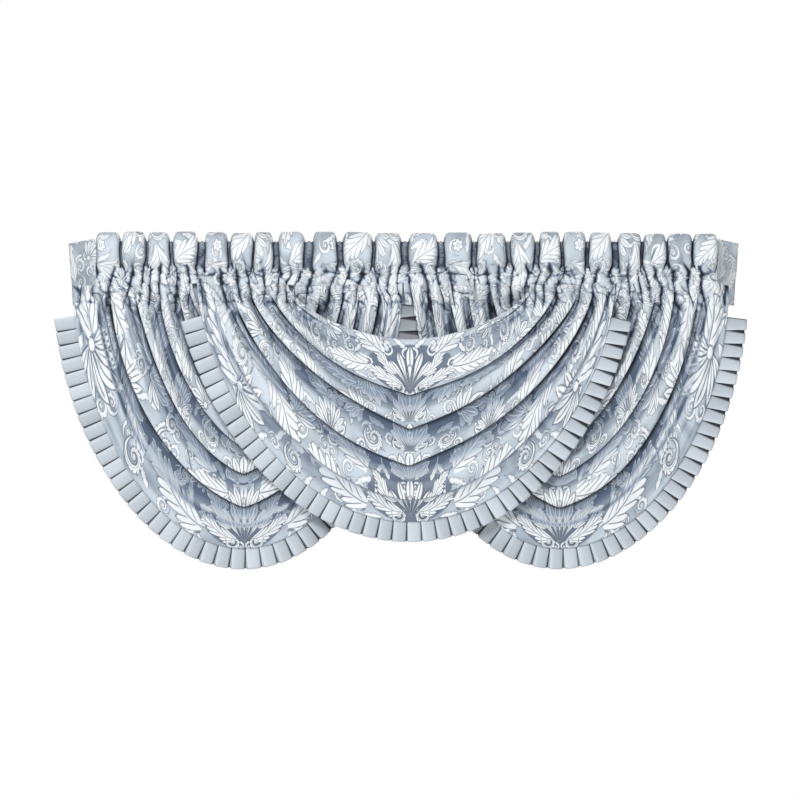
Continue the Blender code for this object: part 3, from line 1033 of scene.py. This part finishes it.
def heading_surface():
    """The grid of the heading, the painted shade of each point, and which cells stay."""
    x, full, dip, reach_out, across, narrows = heading_columns()
    front = np.arange(0, BACK_FROM * FRONT_ROWS) / FRONT_ROWS
    back = BACK_FROM + np.arange(0, (len(SECTION) - 1 - BACK_FROM) * BACK_ROWS + 1) / BACK_ROWS
    at = np.concatenate([front, back])
    table = rounded(np.array([station[1:] for station in SECTION]) * MM, at)
    puff_z, puff_y, gap_z, gap_y = (column[:, None] for column in table.T)
    z = gap_z + (puff_z - gap_z) * full - dip * (1.0 - puff_z / SEAM_Z)
    x = np.broadcast_to(x, z.shape).copy()
    at = at[:, None]
    in_front = at < BACK_FROM - 1
    low_z = z + GATHERED_WANDERS * hills(x, 0.0 * z, 33.0 * MM, 1.0, 7)
    lower = ease((-low_z - GATHERED_FROM) / GATHERED_WITHIN) * in_front
    between = pleats(x, z)
    stand = gathers(x, z)
    foot = ease((-low_z - FOOT_FROM) / FOOT_WITHIN)
    outline = np.abs(across) / (1.0 - narrows * foot)
    puffed = np.clip(1.0 - np.clip(outline, 0.0, 1.0) ** PUFF_SQUARENESS, 0.0, 1.0) - 0.1 * (full < 0.0)
    beside = (outline > 1.0) * ease((-low_z - GATHERED_FROM) / (12.0 * MM)) * (1.0 - lower) * in_front
    y = gap_y + (puff_y - gap_y) * puffed * (1.0 - lower) - stand * (lower + 0.8 * beside)
    furrow = PUFF_FURROW * ease((-z - FURROW_FROM) / FURROW_WITHIN)
    y += (1.0 - between) * furrow * puffed * in_front
    y += fan_of_wrinkles(x, z) * in_front

    on_seam = np.exp(-((at / SEAM_PULLS_STATIONS) ** 2))
    y = y * (1.0 - on_seam) + (seam_depth(x) - stand) * on_seam
    z = z + seam_wave(x) * np.exp(-(((z - SEAM_Z) / SEAM_WAVE_REACH) ** 2)) * in_front
    on_back_seam = np.clip(1.0 - np.abs(at - BACK_SEAM), 0.0, 1.0) ** 2
    y = y * (1.0 - on_back_seam) + (seam_depth(x) + SEAM_LAYERS) * on_back_seam

    top = RETURN_TOP_START + (RETURN_TOP_END - RETURN_TOP_START) * reach_out
    flap = reach_out > 0.0
    z = np.where(flap, z + (top - z) * np.clip(BACK_FROM + 1 - at, 0.0, 1.0) * (at >= BACK_FROM), z)
    near_middle = np.exp(-(((z - RETURN_WRINKLES_Z) / RETURN_WRINKLES_REACH) ** 2))
    wrinkles = RETURN_WRINKLE * np.sin(z / (6.0 * MM) + 9.0 * reach_out) * near_middle
    wrinkles = wrinkles + RETURN_HILLS * return_hills(x, z)
    behind = y + (RETURN_BACK - y) * reach_out + wrinkles * np.minimum(1.0, 4.0 * reach_out)
    y = np.where(flap & (at != BACK_SEAM), behind, y)
    low = (at - BACK_FROM) / (BACK_SEAM - BACK_FROM)
    x += np.where(x < 0.0, 1.0, -1.0) * RETURN_TAPER * reach_out * low
    wander = EDGE_WANDER * np.sin(z / (13.0 * MM) + 70.0 * x) * np.clip(-z / (30.0 * MM), 0.0, 1.0)
    x += wander * (reach_out == 0.0) * (at < BACK_FROM) * (1.0 - on_seam)

    columns = len(full)
    middle = (at[:-1, 0] + at[1:, 0]) / 2.0
    on_flap = np.zeros(columns - 1, bool)
    on_flap[:RETURN_COLUMNS] = True
    on_flap[-RETURN_COLUMNS:] = True
    keep = (middle[:, None] > BACK_FROM) | ~on_flap[None, :]
    points = np.stack([x, y, z], axis=-1)
    # Painted shade: dark in the gaps, along the puffs' edges, in the creases of the gathers and in the
    # hollows, with a painted highlight on what stands out.
    in_gap = (1.0 - np.clip(full, 0.0, 1.0)) ** 1.5 * (1.0 - lower) * (1.0 - 0.6 * beside)
    puff_edge = np.exp(-(((outline - PUFF_EDGE_AT) / PUFF_EDGE_WIDTH) ** 2))
    puff_edge = puff_edge * ease((-z - 30.0 * MM) / (20.0 * MM))
    gap_middle = np.clip((outline - 1.0) / 0.25, 0.0, 1.0) * (across == IN_GAP)
    at_pleats, at_puckers = gather_shade(x, z)
    shade = (GAP_SHADE - GAP_MIDDLE_PALER * gap_middle) * in_gap
    shade = shade + PUFF_EDGE_SHADE * puff_edge * (1.0 - lower) + at_pleats * lower
    shade = shade + at_puckers * ease((-low_z - PUCKER_SHADE_FROM) / PUCKER_SHADE_WITHIN)
    brightest = -0.25 - 0.6 * ease((-z - 46.0 * MM) / (16.0 * MM))
    hollows = np.clip(hollow(points, (3, 4), HEADING_HOLLOW), brightest, 1.5)
    shade = shade + hollows * (1.0 - 0.75 * gap_middle * (in_gap > 0.4))
    shade = shade * in_front * (reach_out == 0.0)
    # On the return flaps a painted shade that follows their relief, with some random tone.
    painted_return_shade_and_tone = 0.02 + 0.5 * return_hills(x, z) + 0.3 * hills(x, z, 26.0 * MM, 30.0 * MM, 9)
    shade = shade + painted_return_shade_and_tone * (reach_out > 0.0) * (at < BACK_FROM + 1)
    return points, shade, keep


FRONT_STATION = 3

points, shade, keep = heading_surface()
row_of_front = FRONT_STATION * FRONT_ROWS
u = lengths(points, 1)[row_of_front]
w = lengths(points, 0)[:, points.shape[1] // 2]
flat = np.stack(np.broadcast_arrays(u[None, :] - u.mean(), w[:, None]), axis=-1)
slots = np.zeros(keep.shape, int)
slots[:, :RETURN_COLUMNS] = DOUBLE_SLOT
slots[:, -RETURN_COLUMNS:] = DOUBLE_SLOT
heading, corner_flat = cloth("heading_cloth", points, flat, shade, CLOTH_THICK, keep=keep, slots=slots)
print(f"heading: {u[-1]:.3f} m of cloth along the rod, {w[-1]:.3f} m across")

# %% [markdown]
# The heading's damask is one all-over layout, because no figure is centred on a puff. Each end of the pocket
# is pressed flat, so what shows there is the right side of the cloth on both faces: those cells take the
# third material slot, and their other side the fourth.

# %% The heading's figures
spots = lattice(
    -1085.0, 1085.0, 12.0, 200.0,
    ["leaf", "lily", "scroll", "leaf", "rosette"], [80, 20, 130, -35, 100], u_step=70.0, size=0.72,
)
lay_figures(heading, corner_flat, spots, 0, mirrored=False)
for material in (heading_damask, damask_reverse, heading_damask, heading_damask):
    heading.data.materials.append(material)
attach(heading, "root")
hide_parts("heading")
area_of(heading)

# %% [markdown]
# ## The swags
# A swag is a piece of cloth whose two sides are pleated up tight and sewn to the seam, so that the middle
# falls in curved folds. Each fold line is a curve from the left end to the right, x = width * cos(angle) and
# fall = drop * sin(angle), each raised to a power that squares it or sharpens it. Between a valley and the
# next ridge the cloth rises slowly. Below a ridge it rolls over and tucks back under itself. In the tables
# left and right are the two widths, round and slope the two powers, and lift is how far a line stands
# forward. All lengths are in millimetres.

# %% The swags' tables
Fold = namedtuple("Fold", "name left right drop round slope lift")
CENTRE_FOLDS = [
    Fold("cowl edge", 187, 198, 92, 1.15, 1.30, 5),
    Fold("valley 1", 197, 207, 106, 1.15, 1.35, 3),
    Fold("ridge 1", 211, 234, 165, 1.20, 1.45, 14),
    Fold("valley 2", 227, 248, 181, 1.25, 1.50, 0),
    Fold("ridge 2", 238, 266, 219, 1.35, 1.55, 14),
    Fold("valley 3", 254, 279, 236, 1.35, 1.45, 0),
    Fold("ridge 3", 264, 292, 275, 1.35, 1.40, 14),
    Fold("valley 4", 280, 303, 296, 1.30, 1.38, 0),
    Fold("ridge 4", 295, 313, 325, 1.25, 1.36, 13),
    Fold("band", 314, 323, 350, 1.05, 1.28, 3),
    Fold("hem", 330, 332, 376, 1.00, 1.25, 1),
]
LEFT_FOLDS = [
    Fold("cowl edge", 79, 83, 97, 1.15, 1.30, 5),
    Fold("valley 1", 87, 95, 112, 1.15, 1.30, 0),
    Fold("ridge 1", 95, 115, 167, 1.20, 1.30, 9),
    Fold("valley 2", 105, 139, 212, 1.20, 1.30, 0),
    Fold("ridge 2", 124, 153, 240, 1.20, 1.30, 11),
    Fold("valley 3", 138, 168, 262, 1.20, 1.30, 0),
    Fold("ridge 3", 156, 179, 290, 1.20, 1.30, 12),
    Fold("valley 4", 176, 192, 307, 1.20, 1.30, 0),
    Fold("ridge 4", 194, 206, 340, 1.20, 1.26, 12),
    Fold("valley 5", 216, 222, 363, 1.15, 1.20, 0),
    Fold("band", 238, 238, 391, 1.05, 1.16, 6),
    Fold("hem", 268, 255, 419, 1.00, 1.13, 2),
]
RIGHT_FOLDS = [
    Fold("cowl edge", 58, 90, 98, 1.15, 1.30, 5),
    Fold("valley 1", 70, 98, 114, 1.15, 1.30, 0),
    Fold("ridge 1", 95, 108, 170, 1.20, 1.30, 9),
    Fold("valley 2", 119, 121, 214, 1.20, 1.30, 0),
    Fold("ridge 2", 135, 140, 239, 1.20, 1.30, 11),
    Fold("valley 3", 151, 157, 264, 1.20, 1.30, 0),
    Fold("ridge 3", 167, 175, 292, 1.20, 1.30, 12),
    Fold("valley 4", 184, 191, 309, 1.20, 1.30, 0),
    Fold("ridge 4", 197, 206, 339, 1.20, 1.24, 12),
    Fold("valley 5", 211, 224, 362, 1.15, 1.18, 0),
    Fold("band", 227, 241, 390, 1.05, 1.13, 6),
    Fold("hem", 248, 268, 419, 1.00, 1.09, 2),
]
# middle is a swag's place along the rod, and drift how far its lowest point is off it. The depths are those
# of its two legs and of its lowest point, and it reaches them a distance of leave below the seam. phase
# makes its unevenness its own. Its trim starts at trim_left and trim_right below the seam, and shows
# trim_end of its width at the right end.
Swag = namedtuple(
    "Swag", "name folds middle drift left_y right_y low_y leave phase trim_left trim_right trim_end"
)
SWAGS = [
    Swag("left", LEFT_FOLDS, -251, 3, -3, -3, -7, 45, 0.0, 50, 31, 0.55),
    Swag("right", RIGHT_FOLDS, 254, -2, 7, -3, -7, 40, 1.9, 50, 50, 1.0),
    Swag("centre", CENTRE_FOLDS, 9, 6, -30, -30, -34, 45, 3.7, 50, 50, 1.0),
]
print("folds:", {swag.name: len(swag.folds) for swag in SWAGS})

# %% [markdown]
# The tables give the main folds, and a few more values make them cloth. The lines wander and the folds are
# uneven along their length. They stand out less near the middle, where each line comes to a soft point, and
# they start a little below the seam, as the gathers fade out.

# %% How the folds vary
TOP_CROWDING = 1.3
FOLDS_FROM = 4.0 * MM
FOLDS_WITHIN = 42.0 * MM
GATHERS_FADE_FROM = 8.0 * MM
GATHERS_FADE_WITHIN = 50.0 * MM
CENTRE_SOFTENING = 0.35
UNEVENNESS = 0.28
UNEVEN_ALONG = 5.3
UNEVEN_ACROSS = 1.9
SWAG_COLUMNS = 300
ROWS_PER_FOLD = 14
FULL_ROLL_LIFT = 11.0
ROLL = 2.0
WOBBLE = 0.13
EDGE_ROLL = 4.0 * MM
EDGE_TURNS = [150.0, 112.0, 75.0, 38.0]
POINTED = 9.0
POINT_WIDTH = 24.0
POINT_REACH = 130.0
POINT_ROUND = 4.0
SIDE_TUCKS = 2.0 * MM
PUCKER_RELIEF = 1.7 * MM
MIDDLE_SMOOTHER = 0.7
print("each swag has", SWAG_COLUMNS, "columns and", ROWS_PER_FOLD, "rows a fold")

# %% [markdown]
# Painted shade follows the same lines. A valley is painted dark along its floor and darkest where the ridge
# above touches it. The first valley, under the cowl, is open to the light in the middle and painted lighter
# there. A side swag has a painted shadow near the centre one, which hangs in front of it.

# %% How the folds are shaded
LEG_SHADE = {"valley 1": 0.90, "band": 0.35}
AXIS_SHADE = {"valley 1": 0.15}
# Shares of the way from one line down to the next. Between a ridge and its valley the painted shade turns
# dark from the first on, over the second, and past the valley the painted shade has faded away at the third.
DARK_BELOW_RIDGE = 0.45
DARK_WITHIN = 0.2
DARK_PAST_VALLEY = 0.85
CONTACT_AT = 0.76
CONTACT_WIDTH = 0.13
CONTACT_SHADE = 1.5
FOLD_SHADE_WITHIN = 30.0 * MM
SWAG_HOLLOW = 1.9 * MM
CENTRE_X = 9.0 * MM
# Painted shadow of the centre swag on the side swags.
SHADE_OF_CENTRE = 0.34
CENTRE_SHADE_FROM = 110.0 * MM
CENTRE_SHADE_WITHIN = 130.0 * MM


def behind_centre(x, start, within):
    """1 as far as start from the centre swag's middle, easing down to 0 over the distance within."""
    return 1.0 - ease((np.abs(x - CENTRE_X) - start) / within)


shade_ends = (CENTRE_SHADE_FROM + CENTRE_SHADE_WITHIN) / MM
print(f"the centre swag's shade ends {shade_ends:.0f} mm from its middle")

# %% [markdown]
# The rows of a swag's grid go from one fold line to the next, the same number for each. On the way down from
# a ridge they pass the half way, come back over it and go on again, so the ridge overhangs its valley.

# %% The rows of a swag
def fold_rows(folds):
    """Each row of the grid: its place among the fold lines, its lift in millimetres, its painted shade at the
    sides, and how much of that is missing at the axis.

    From a ridge down to a valley the place runs as t + ROLL * sin(2 pi t) / 2 pi, which turns back on
    itself half way, so the ridge overhangs the valley below it."""
    lift = np.array([fold.lift for fold in folds], float)
    dark = [LEG_SHADE.get(fold.name, 1.0 if fold.name.startswith("valley") else 0.0) for fold in folds]
    paler = [max(shaded - AXIS_SHADE.get(fold.name, shaded), 0.0) for fold, shaded in zip(folds, dark)]
    t = np.arange(ROWS_PER_FOLD) / ROWS_PER_FOLD
    place, height, shade, pale = [], [], [], []
    for below, (start, end) in enumerate(zip(lift, lift[1:])):
        falling = start > end
        strong = min(abs(start - end) / FULL_ROLL_LIFT, 1.0)
        step = t + (ROLL * strong * np.sin(2.0 * np.pi * t) / (2.0 * np.pi) if falling else 0.0 * t)
        place.append(below + step)
        height.append(start + (end - start) * (ease(t) if falling else ease(t) ** 1.8))
        contact = CONTACT_SHADE * np.exp(-(((t - CONTACT_AT) / CONTACT_WIDTH) ** 2))
        below_ridge = ease((t - DARK_BELOW_RIDGE) / DARK_WITHIN) + contact
        past_valley = np.clip(1.12 * (1.0 - t / DARK_PAST_VALLEY), 0.0, 1.0) ** 0.8
        shade.append(dark[below + 1] * below_ridge + dark[below] * past_valley)
        pale.append(paler[below + 1] * below_ridge + paler[below] * past_valley)
    place.append([len(lift) - 1.0])
    height.append([lift[-1]])
    shade.append([0.0])
    pale.append([0.0])
    return (np.concatenate(part) for part in (place, height, shade, pale))


print("rows of the centre swag:", len(next(fold_rows(CENTRE_FOLDS))))

# %% [markdown]
# The surface is worked out whole: first where each line hangs seen from the front, then how far each point
# stands forward, then the painted shade, and last a rolled edge along the cowl. The flat coordinates are
# lengths measured on the surface, so a figure in the middle keeps its size over all the folds.

# %% The swags' surface
def flat_of(points, low):
    """Flat coordinates of a swag's grid: the length along a row from the middle, and down a column from the
    top. Towards the sides the first eases to the mean of all rows, because the rows' own lengths differ so
    much there that figures would be sheared. Near the middle the second is the middle column's."""
    middle = SWAG_COLUMNS // 2
    u = lengths(points, 1)
    u = u - u[:, middle][:, None]
    u = u * low[0] + u.mean(axis=0) * (1.0 - low[0])
    w = lengths(points, 0)
    from_hem = w[-1] - w
    at_axis = from_hem[:, middle][:, None]
    w = w[-1, middle] - (at_axis * low[0] + from_hem * (1.0 - low[0]))
    return np.stack(np.broadcast_arrays(u, w), axis=-1)


def swag_surface(swag):
    """The grid of a swag, its flat coordinates and its painted shade."""
    table = np.array([fold[1:] for fold in swag.folds], float)
    lines = np.arange(len(table))
    place, height, shade, pale = (part[:, None] for part in fold_rows(swag.folds))
    along = np.linspace(0.0, 1.0, SWAG_COLUMNS)[None, :]
    last = lines[-1]
    wander = np.sin(7.0 * along + 2.3 * place + swag.phase) + 0.6 * np.sin(17.0 * along - 1.7 * place)
    fold = place + WOBBLE * wander * np.sin(np.pi * np.clip(place / last, 0.0, 1.0))
    left, right, drop, rounding, slope = (np.interp(fold, lines, table[:, c]) for c in range(5))

    side = np.abs(2.0 * along - 1.0)
    angle = np.pi / 2.0 * (1.0 - side) ** TOP_CROWDING
    low = np.sin(angle) ** 2
    width = np.where(along < 0.5, -left, right)
    x = (swag.middle + swag.drift * low + width * np.cos(angle) ** rounding) * MM
    fall = drop * MM * np.sin(angle) ** slope
    off_axis = width * np.cos(angle) ** rounding
    cusp = np.exp(-np.hypot(off_axis, POINT_ROUND) / POINT_WIDTH)
    mid_folds = np.clip(np.minimum(place - 1.0, last - 1.0 - place) / 1.5, 0.0, 1.0)
    away = np.exp(-POINT_ROUND / POINT_WIDTH) - cusp
    raised = POINTED * away * np.exp(-((off_axis / POINT_REACH) ** 2))
    fall = fall - raised * MM * mid_folds
    z = SEAM_Z - fall

    out_of_seam = ease(fall / (swag.leave * MM))
    leg_y = np.where(along < 0.5, swag.left_y, swag.right_y)
    hang_y = (leg_y + (swag.low_y - leg_y) * low) * MM
    base = seam_depth(x) * (1.0 - out_of_seam) + hang_y * out_of_seam
    gathered = ease((fall - FOLDS_FROM) / FOLDS_WITHIN)
    uneven = 1.0 + UNEVENNESS * np.sin(UNEVEN_ALONG * along + UNEVEN_ACROSS * fold + swag.phase)
    relief = height * MM * gathered * uneven * (1.0 - CENTRE_SOFTENING * low)
    near_seam = 1.0 - ease((fall - GATHERS_FADE_FROM) / GATHERS_FADE_WITHIN)
    relief = relief + gathers(x, z) * near_seam
    tucks = np.abs(np.sin(np.pi * (2.0 * place + 0.6 * np.sin(9.0 * along + swag.phase))))
    relief = relief + SIDE_TUCKS * tucks * (1.0 - low) * (1.0 - near_seam)
    at_sides = 1.0 - MIDDLE_SMOOTHER * low
    puckered = PUCKER_RELIEF * hills(x + 0.3 * z, z, 15.0 * MM, 26.0 * MM, 4)
    relief = relief + puckered * out_of_seam * at_sides
    z = z + seam_wave(x) * np.exp(-((fall / SEAM_WAVE_REACH) ** 2))
    points = np.stack([x, base - relief, z], axis=-1)
    # Painted shade from the fold table, the gathers' creases and the hollows, with a painted highlight where
    # the hollow measure is below 0.
    at_pleats, at_puckers = gather_shade(x, z)
    shade = (shade - pale * low) * ease(fall / FOLD_SHADE_WITHIN) + (at_pleats + at_puckers) * near_seam
    shade = shade + np.clip(hollow(points, (4, 3), SWAG_HOLLOW), -0.8, 1.2) * at_sides
    # Painted shadow of the centre swag, which hangs in front of the side swags.
    if swag.name != "centre":
        behind = behind_centre(points[..., 0], CENTRE_SHADE_FROM, CENTRE_SHADE_WITHIN)
        shade = shade + SHADE_OF_CENTRE * behind * low
    turn = np.radians(EDGE_TURNS)[:, None]
    rolled = points[:1] + np.stack([
        0.0 * turn + 0.0 * low, EDGE_ROLL * low * (1.0 - np.cos(turn)), EDGE_ROLL * low * np.sin(turn)
    ], axis=-1)
    points = np.concatenate([rolled, points])
    shade = np.concatenate([np.repeat(shade[:1], len(turn), axis=0), shade])
    return points, flat_of(points, low), shade


print("swag surfaces ready")

# %% [markdown]
# The figures of a swag are laid out from its middle, the same on both sides. A column of palmettes stands on
# the axis between two medallions, and leaves, lilies and scrolls run along the band above the hem. What is
# left is filled by an all-over layout, which gives way to the others.

# %% The swags' figures
AXIS_SPOTS = [
    Spot("medallion", 0, 56, 0, 84),
    Spot("palmette", 0, 126, 0, 34),
    Spot("palmette", 0, 184, 0, 36),
    Spot("palmette", 0, 242, 0, 36),
    Spot("palmette", 0, 298, 0, 34),
]
# Here w is the distance above the hem.
BAND_SPOTS = [
    Spot("medallion", 0, 40, 0, 84),
    Spot("leaf", 122, 34, 10, 66),
    Spot("scroll", 186, 20, 0, 17),
    Spot("leaf", 214, 62, 205, 60),
    Spot("lily", 262, 28, 160, 34),
    Spot("scroll", 298, 60, 120, 20),
    Spot("leaf", 336, 26, -8, 62),
    Spot("scroll", 392, 56, 40, 18),
    Spot("leaf", 430, 30, 12, 64),
    Spot("lily", 500, 34, 170, 34),
    Spot("leaf", 560, 30, 4, 60),
]

for swag in SWAGS:
    points, flat, shade = swag_surface(swag)
    name = "swag_" + swag.name + "_cloth"
    piece, corner_flat = cloth(name, points, flat, shade, CLOTH_THICK, outward=False)
    across = flat[-1, 0, 1] - flat[0, SWAG_COLUMNS // 2, 1]
    band = [spot._replace(w=across / MM - spot.w) for spot in BAND_SPOTS]
    spots = AXIS_SPOTS + band
    first = len(spots)
    spots = spots + lattice(
        62.0, 620.0, 22.0, across / MM - 60.0,
        ["leaf", "lily", "leaf", "scroll", "palmette"], [18, -24, 155, 30, -8],
    )
    lay_figures(piece, corner_flat, spots, first, mirrored=True)
    piece.data.materials.append(damask)
    piece.data.materials.append(damask_reverse)
    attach(piece, "root")
    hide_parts("swag_" + swag.name)
    area_of(piece)

# %% [markdown]
# ## The trims
# Each hem has a strip of plain satin laid in knife pleats. In section a pleat is a flat tab that slips under
# the next one, folds, comes back between the two layers and folds forward again. Along the hem the tabs turn
# with the curve, and towards the right end they stand open at their outer edge. A bump pattern could draw the
# edges of the tabs, but the outline of the hem shows every fold, so the folds are real.

# %% The pleats
PLEATS = 46
TRIM_WIDTH = 33.0 * MM
TRIM_TUCK = 4.0 * MM
TRIM_BEHIND = 1.6 * MM
TRIM_TURN = 60.0 * MM
TRIM_ROWS = 12
WEDGE = 0.27
FOLD_EDGE_GAP = 0.05
RAGGED = 1.1 * MM
CURL = 1.4 * MM
OPEN_FROM = 0.5
OPEN_WITHIN = 0.35
TRIM_SHADE_OF_CENTRE = 0.42
TRIM_SHADE_FROM = 100.0 * MM
TRIM_SHADE_WITHIN = 80.0 * MM
# along is in pleats, depth in millimetres behind the front of the tab, open how far the bend goes with a tab
# that opens, shade its painted shade, dark under the next tab and a painted highlight below 0 at the fold
# edge, and short how much less it reaches out, in millimetres.
Bend = namedtuple("Bend", "along depth open shade short")
PLEAT = [
    Bend(0.000, 0.30, 1.0, -0.10, 0.4),
    Bend(0.012, 0.05, 1.0, -0.30, 0.0),
    Bend(0.060, 0.00, 1.0, -0.10, 0.0),
    Bend(0.300, 0.40, 0.6, 0.03, 0.0),
    Bend(0.600, 1.00, 0.3, 0.08, 0.0),
    Bend(0.860, 1.70, 0.0, 0.16, 0.0),
    Bend(0.925, 2.00, 0.0, 0.65, 0.2),
    Bend(0.965, 2.30, 0.0, 1.00, 1.6),
    Bend(1.300, 2.80, 0.0, 1.00, 2.6),
    Bend(1.330, 2.30, 0.0, 1.00, 2.6),
    Bend(1.300, 1.60, 0.0, 1.00, 2.6),
    Bend(1.060, 1.20, 0.5, 1.00, 2.6),
    Bend(1.010, 0.90, 1.0, 0.60, 1.4),
]


def trim_surface(swag):
    """The grid of a trim: each pleat repeats the section along the hem, and rows run outwards from it."""
    points, _, _ = swag_surface(swag)
    hem = points[-1]
    along = np.linspace(0.0, 1.0, SWAG_COLUMNS)
    start = np.where(along < 0.5, swag.trim_left, swag.trim_right) * MM
    hem = hem[hem[:, 2] < SEAM_Z - start]
    steps = np.linalg.norm(np.diff(hem[:, [0, 2]], axis=0), axis=1)
    length = np.concatenate([[0.0], np.cumsum(steps)])
    pitch = length[-1] / PLEATS

    section = np.array(PLEAT, float)
    pleat = np.repeat(np.arange(PLEATS), len(section)).astype(float)
    at, depth, open_by, shade, short = np.tile(section, (PLEATS, 1)).T
    last = (pleat == PLEATS - 1) & (at > 0.97)
    pleat, at, depth, open_by, shade, short = (
        part[~last] for part in (pleat, at, depth, open_by, shade, short)
    )
    out = np.linspace(0.0, 1.0, TRIM_ROWS)[:, None]
    right_half = ease((pleat / PLEATS - OPEN_FROM) / OPEN_WITHIN)
    spread = FOLD_EDGE_GAP + (WEDGE - FOLD_EDGE_GAP) * right_half
    where = (pleat + at + spread * open_by * (out - 0.25)) * pitch
    where = np.clip(where, 0.0, length[-1])
    sample = [np.interp(where, length, hem[:, axis]) for axis in range(3)]
    mid = np.clip((pleat + 0.5) * pitch, 0.0, length[-1])
    ahead = [np.interp(mid + pitch, length, hem[:, axis]) for axis in (0, 2)]
    before = [np.interp(mid - pitch, length, hem[:, axis]) for axis in (0, 2)]
    run_x, run_z = ahead[0] - before[0], ahead[1] - before[1]
    run = np.hypot(run_x, run_z)
    out_x, out_z = run_z / run, -run_x / run
    shown = swag.trim_end + (1.0 - swag.trim_end) * ease((length[-1] - mid) / TRIM_TURN)
    ragged = RAGGED * (0.5 * np.sin(12.9 * pleat + swag.phase) + 0.8 * (0.5 - np.minimum(at, 1.0)))
    reach_out = out * (TRIM_WIDTH * shown + TRIM_TUCK + ragged - short * MM) - TRIM_TUCK
    curl = CURL * np.sin(0.83 * (pleat + np.minimum(at, 1.0)) + swag.phase) * out**2
    y = sample[1] + TRIM_BEHIND + depth * MM * (1.0 + 0.8 * right_half * out) + curl
    x = sample[0] + out_x * reach_out
    z = sample[2] + out_z * reach_out
    flat = np.stack(np.broadcast_arrays((pleat + at) * pitch, reach_out), axis=-1)
    # A random tone for each pleat, added to the painted shade.
    tone = 0.07 * np.sin(7.3 * pleat) + 0.05 * np.sin(2.1 * pleat) + 0.05
    # Painted shadow of the centre swag on the side swags' trims, added to the tone.
    if swag.name != "centre":
        tone = tone + TRIM_SHADE_OF_CENTRE * behind_centre(x, TRIM_SHADE_FROM, TRIM_SHADE_WITHIN)
    return np.stack([x, y, z], axis=-1), flat, np.broadcast_to(shade + tone, x.shape), length[-1]


for swag in SWAGS:
    points, flat, shade, length = trim_surface(swag)
    name = "trim_" + swag.name + "_pleats"
    piece, _ = cloth(name, points, flat, shade, TRIM_THICK, outward=False)
    piece.data.set_sharp_from_angle(angle=np.radians(40.0))
    piece.data.materials.append(plain)
    piece.data.materials.append(plain_reverse)
    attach(piece, "root")
    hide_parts("trim_" + swag.name)
    area_of(piece)

# %% [markdown]
# ## The studio
# The valance hangs in front of plain white, over a pale floor that stays below the picture. The camera
# stands far off with a long lens, level with the middle of the picture, so nothing is foreshortened. One
# broad lamp above the camera and a weaker one on each side leave soft shade under each fold, and a lamp
# behind shows the wrong side of the cloth in the views from the back.

# %% Floor, lights and camera
PICTURE_WIDTH = 1.2696
PICTURE_MIDDLE_Z = -0.2666
CAMERA_BACK = 9.0
CAMERA_SEES = 60.0
SENSOR = 36.0
FLOOR_Z = -1.2
FLOOR_RADIUS = 2.4
FLOOR_SIDES = 96
FLOOR_GLOW = 0.30
SURROUND = 0.42
LAMPS_AIM = (0.0, 0.0, -0.25)


def floor_piece():
    """A round floor: one flat face."""
    around = 2.0 * np.pi * np.arange(FLOOR_SIDES) / FLOOR_SIDES
    rim = [(FLOOR_RADIUS * np.cos(angle), FLOOR_RADIUS * np.sin(angle), FLOOR_Z) for angle in around]
    mesh = bpy.data.meshes.new("floor")
    mesh.from_pydata(rim, [], [list(range(FLOOR_SIDES))])
    piece = bpy.data.objects.new("floor", mesh)
    bpy.context.scene.collection.objects.link(piece)
    material, tree, shader = new_material("pale floor")
    coordinates = tree.nodes.new("ShaderNodeTexCoord")
    speckle = noise(tree, coordinates.outputs["Object"], 30.0, 3.0)
    pale = mixed(tree, speckle, (0.80, 0.80, 0.79, 1.0), (0.84, 0.84, 0.83, 1.0))
    tree.links.new(pale, shader.inputs["Base Color"])
    tree.links.new(pale, shader.inputs["Emission Color"])
    shader.inputs["Emission Strength"].default_value = FLOOR_GLOW
    shader.inputs["Roughness"].default_value = 0.8
    piece.data.materials.append(material)


def lamp(name, place, size, watts):
    """A round lamp of that size in metres, aimed at the valance."""
    light = bpy.data.lights.new(name, "AREA")
    light.shape = "DISK"
    light.size = size
    light.energy = watts
    lamp_object = bpy.data.objects.new(name, light)
    bpy.context.scene.collection.objects.link(lamp_object)
    lamp_object.location = place
    direction = Vector(LAMPS_AIM) - Vector(place)
    lamp_object.rotation_euler = direction.to_track_quat("-Z", "Y").to_euler()


def white_world(strength):
    """White all round: what the camera sees is pure white, and what lights the cloth is weaker."""
    world = bpy.data.worlds.new("white surround")
    world.use_nodes = True
    tree = world.node_tree
    background = tree.nodes["Background"]
    background.inputs["Color"].default_value = (1.0, 1.0, 1.0, 1.0)
    rays = tree.nodes.new("ShaderNodeLightPath")
    seen = Wire(tree, rays.outputs["Is Camera Ray"])
    tree.links.new((seen * (1.0 - strength) + strength).socket, background.inputs["Strength"])
    bpy.context.scene.world = world


floor_piece()
white_world(SURROUND)
lamp("key above", (-0.6, -2.8, 1.3), 1.0, 55.0)
lamp("left fill", (-2.6, -2.6, 0.1), 1.2, 14.0)
lamp("back fill", (0.4, 3.0, 0.9), 1.6, 40.0)
lamp("right fill", (2.6, -2.6, 0.1), 1.2, 10.0)
camera = bpy.data.cameras.new("camera")
camera.sensor_width = SENSOR
camera.lens = SENSOR * CAMERA_BACK / PICTURE_WIDTH
camera.clip_end = CAMERA_SEES
camera_object = bpy.data.objects.new("camera", camera)
bpy.context.scene.collection.objects.link(camera_object)
camera_object.location = (0.0, -CAMERA_BACK, PICTURE_MIDDLE_Z)
camera_object.rotation_euler = (np.pi / 2.0, 0.0, 0.0)
bpy.context.scene.camera = camera_object
bpy.context.scene.view_settings.view_transform = "Standard"
print(f"camera: {camera.lens:.0f} mm lens, {CAMERA_BACK} m back")
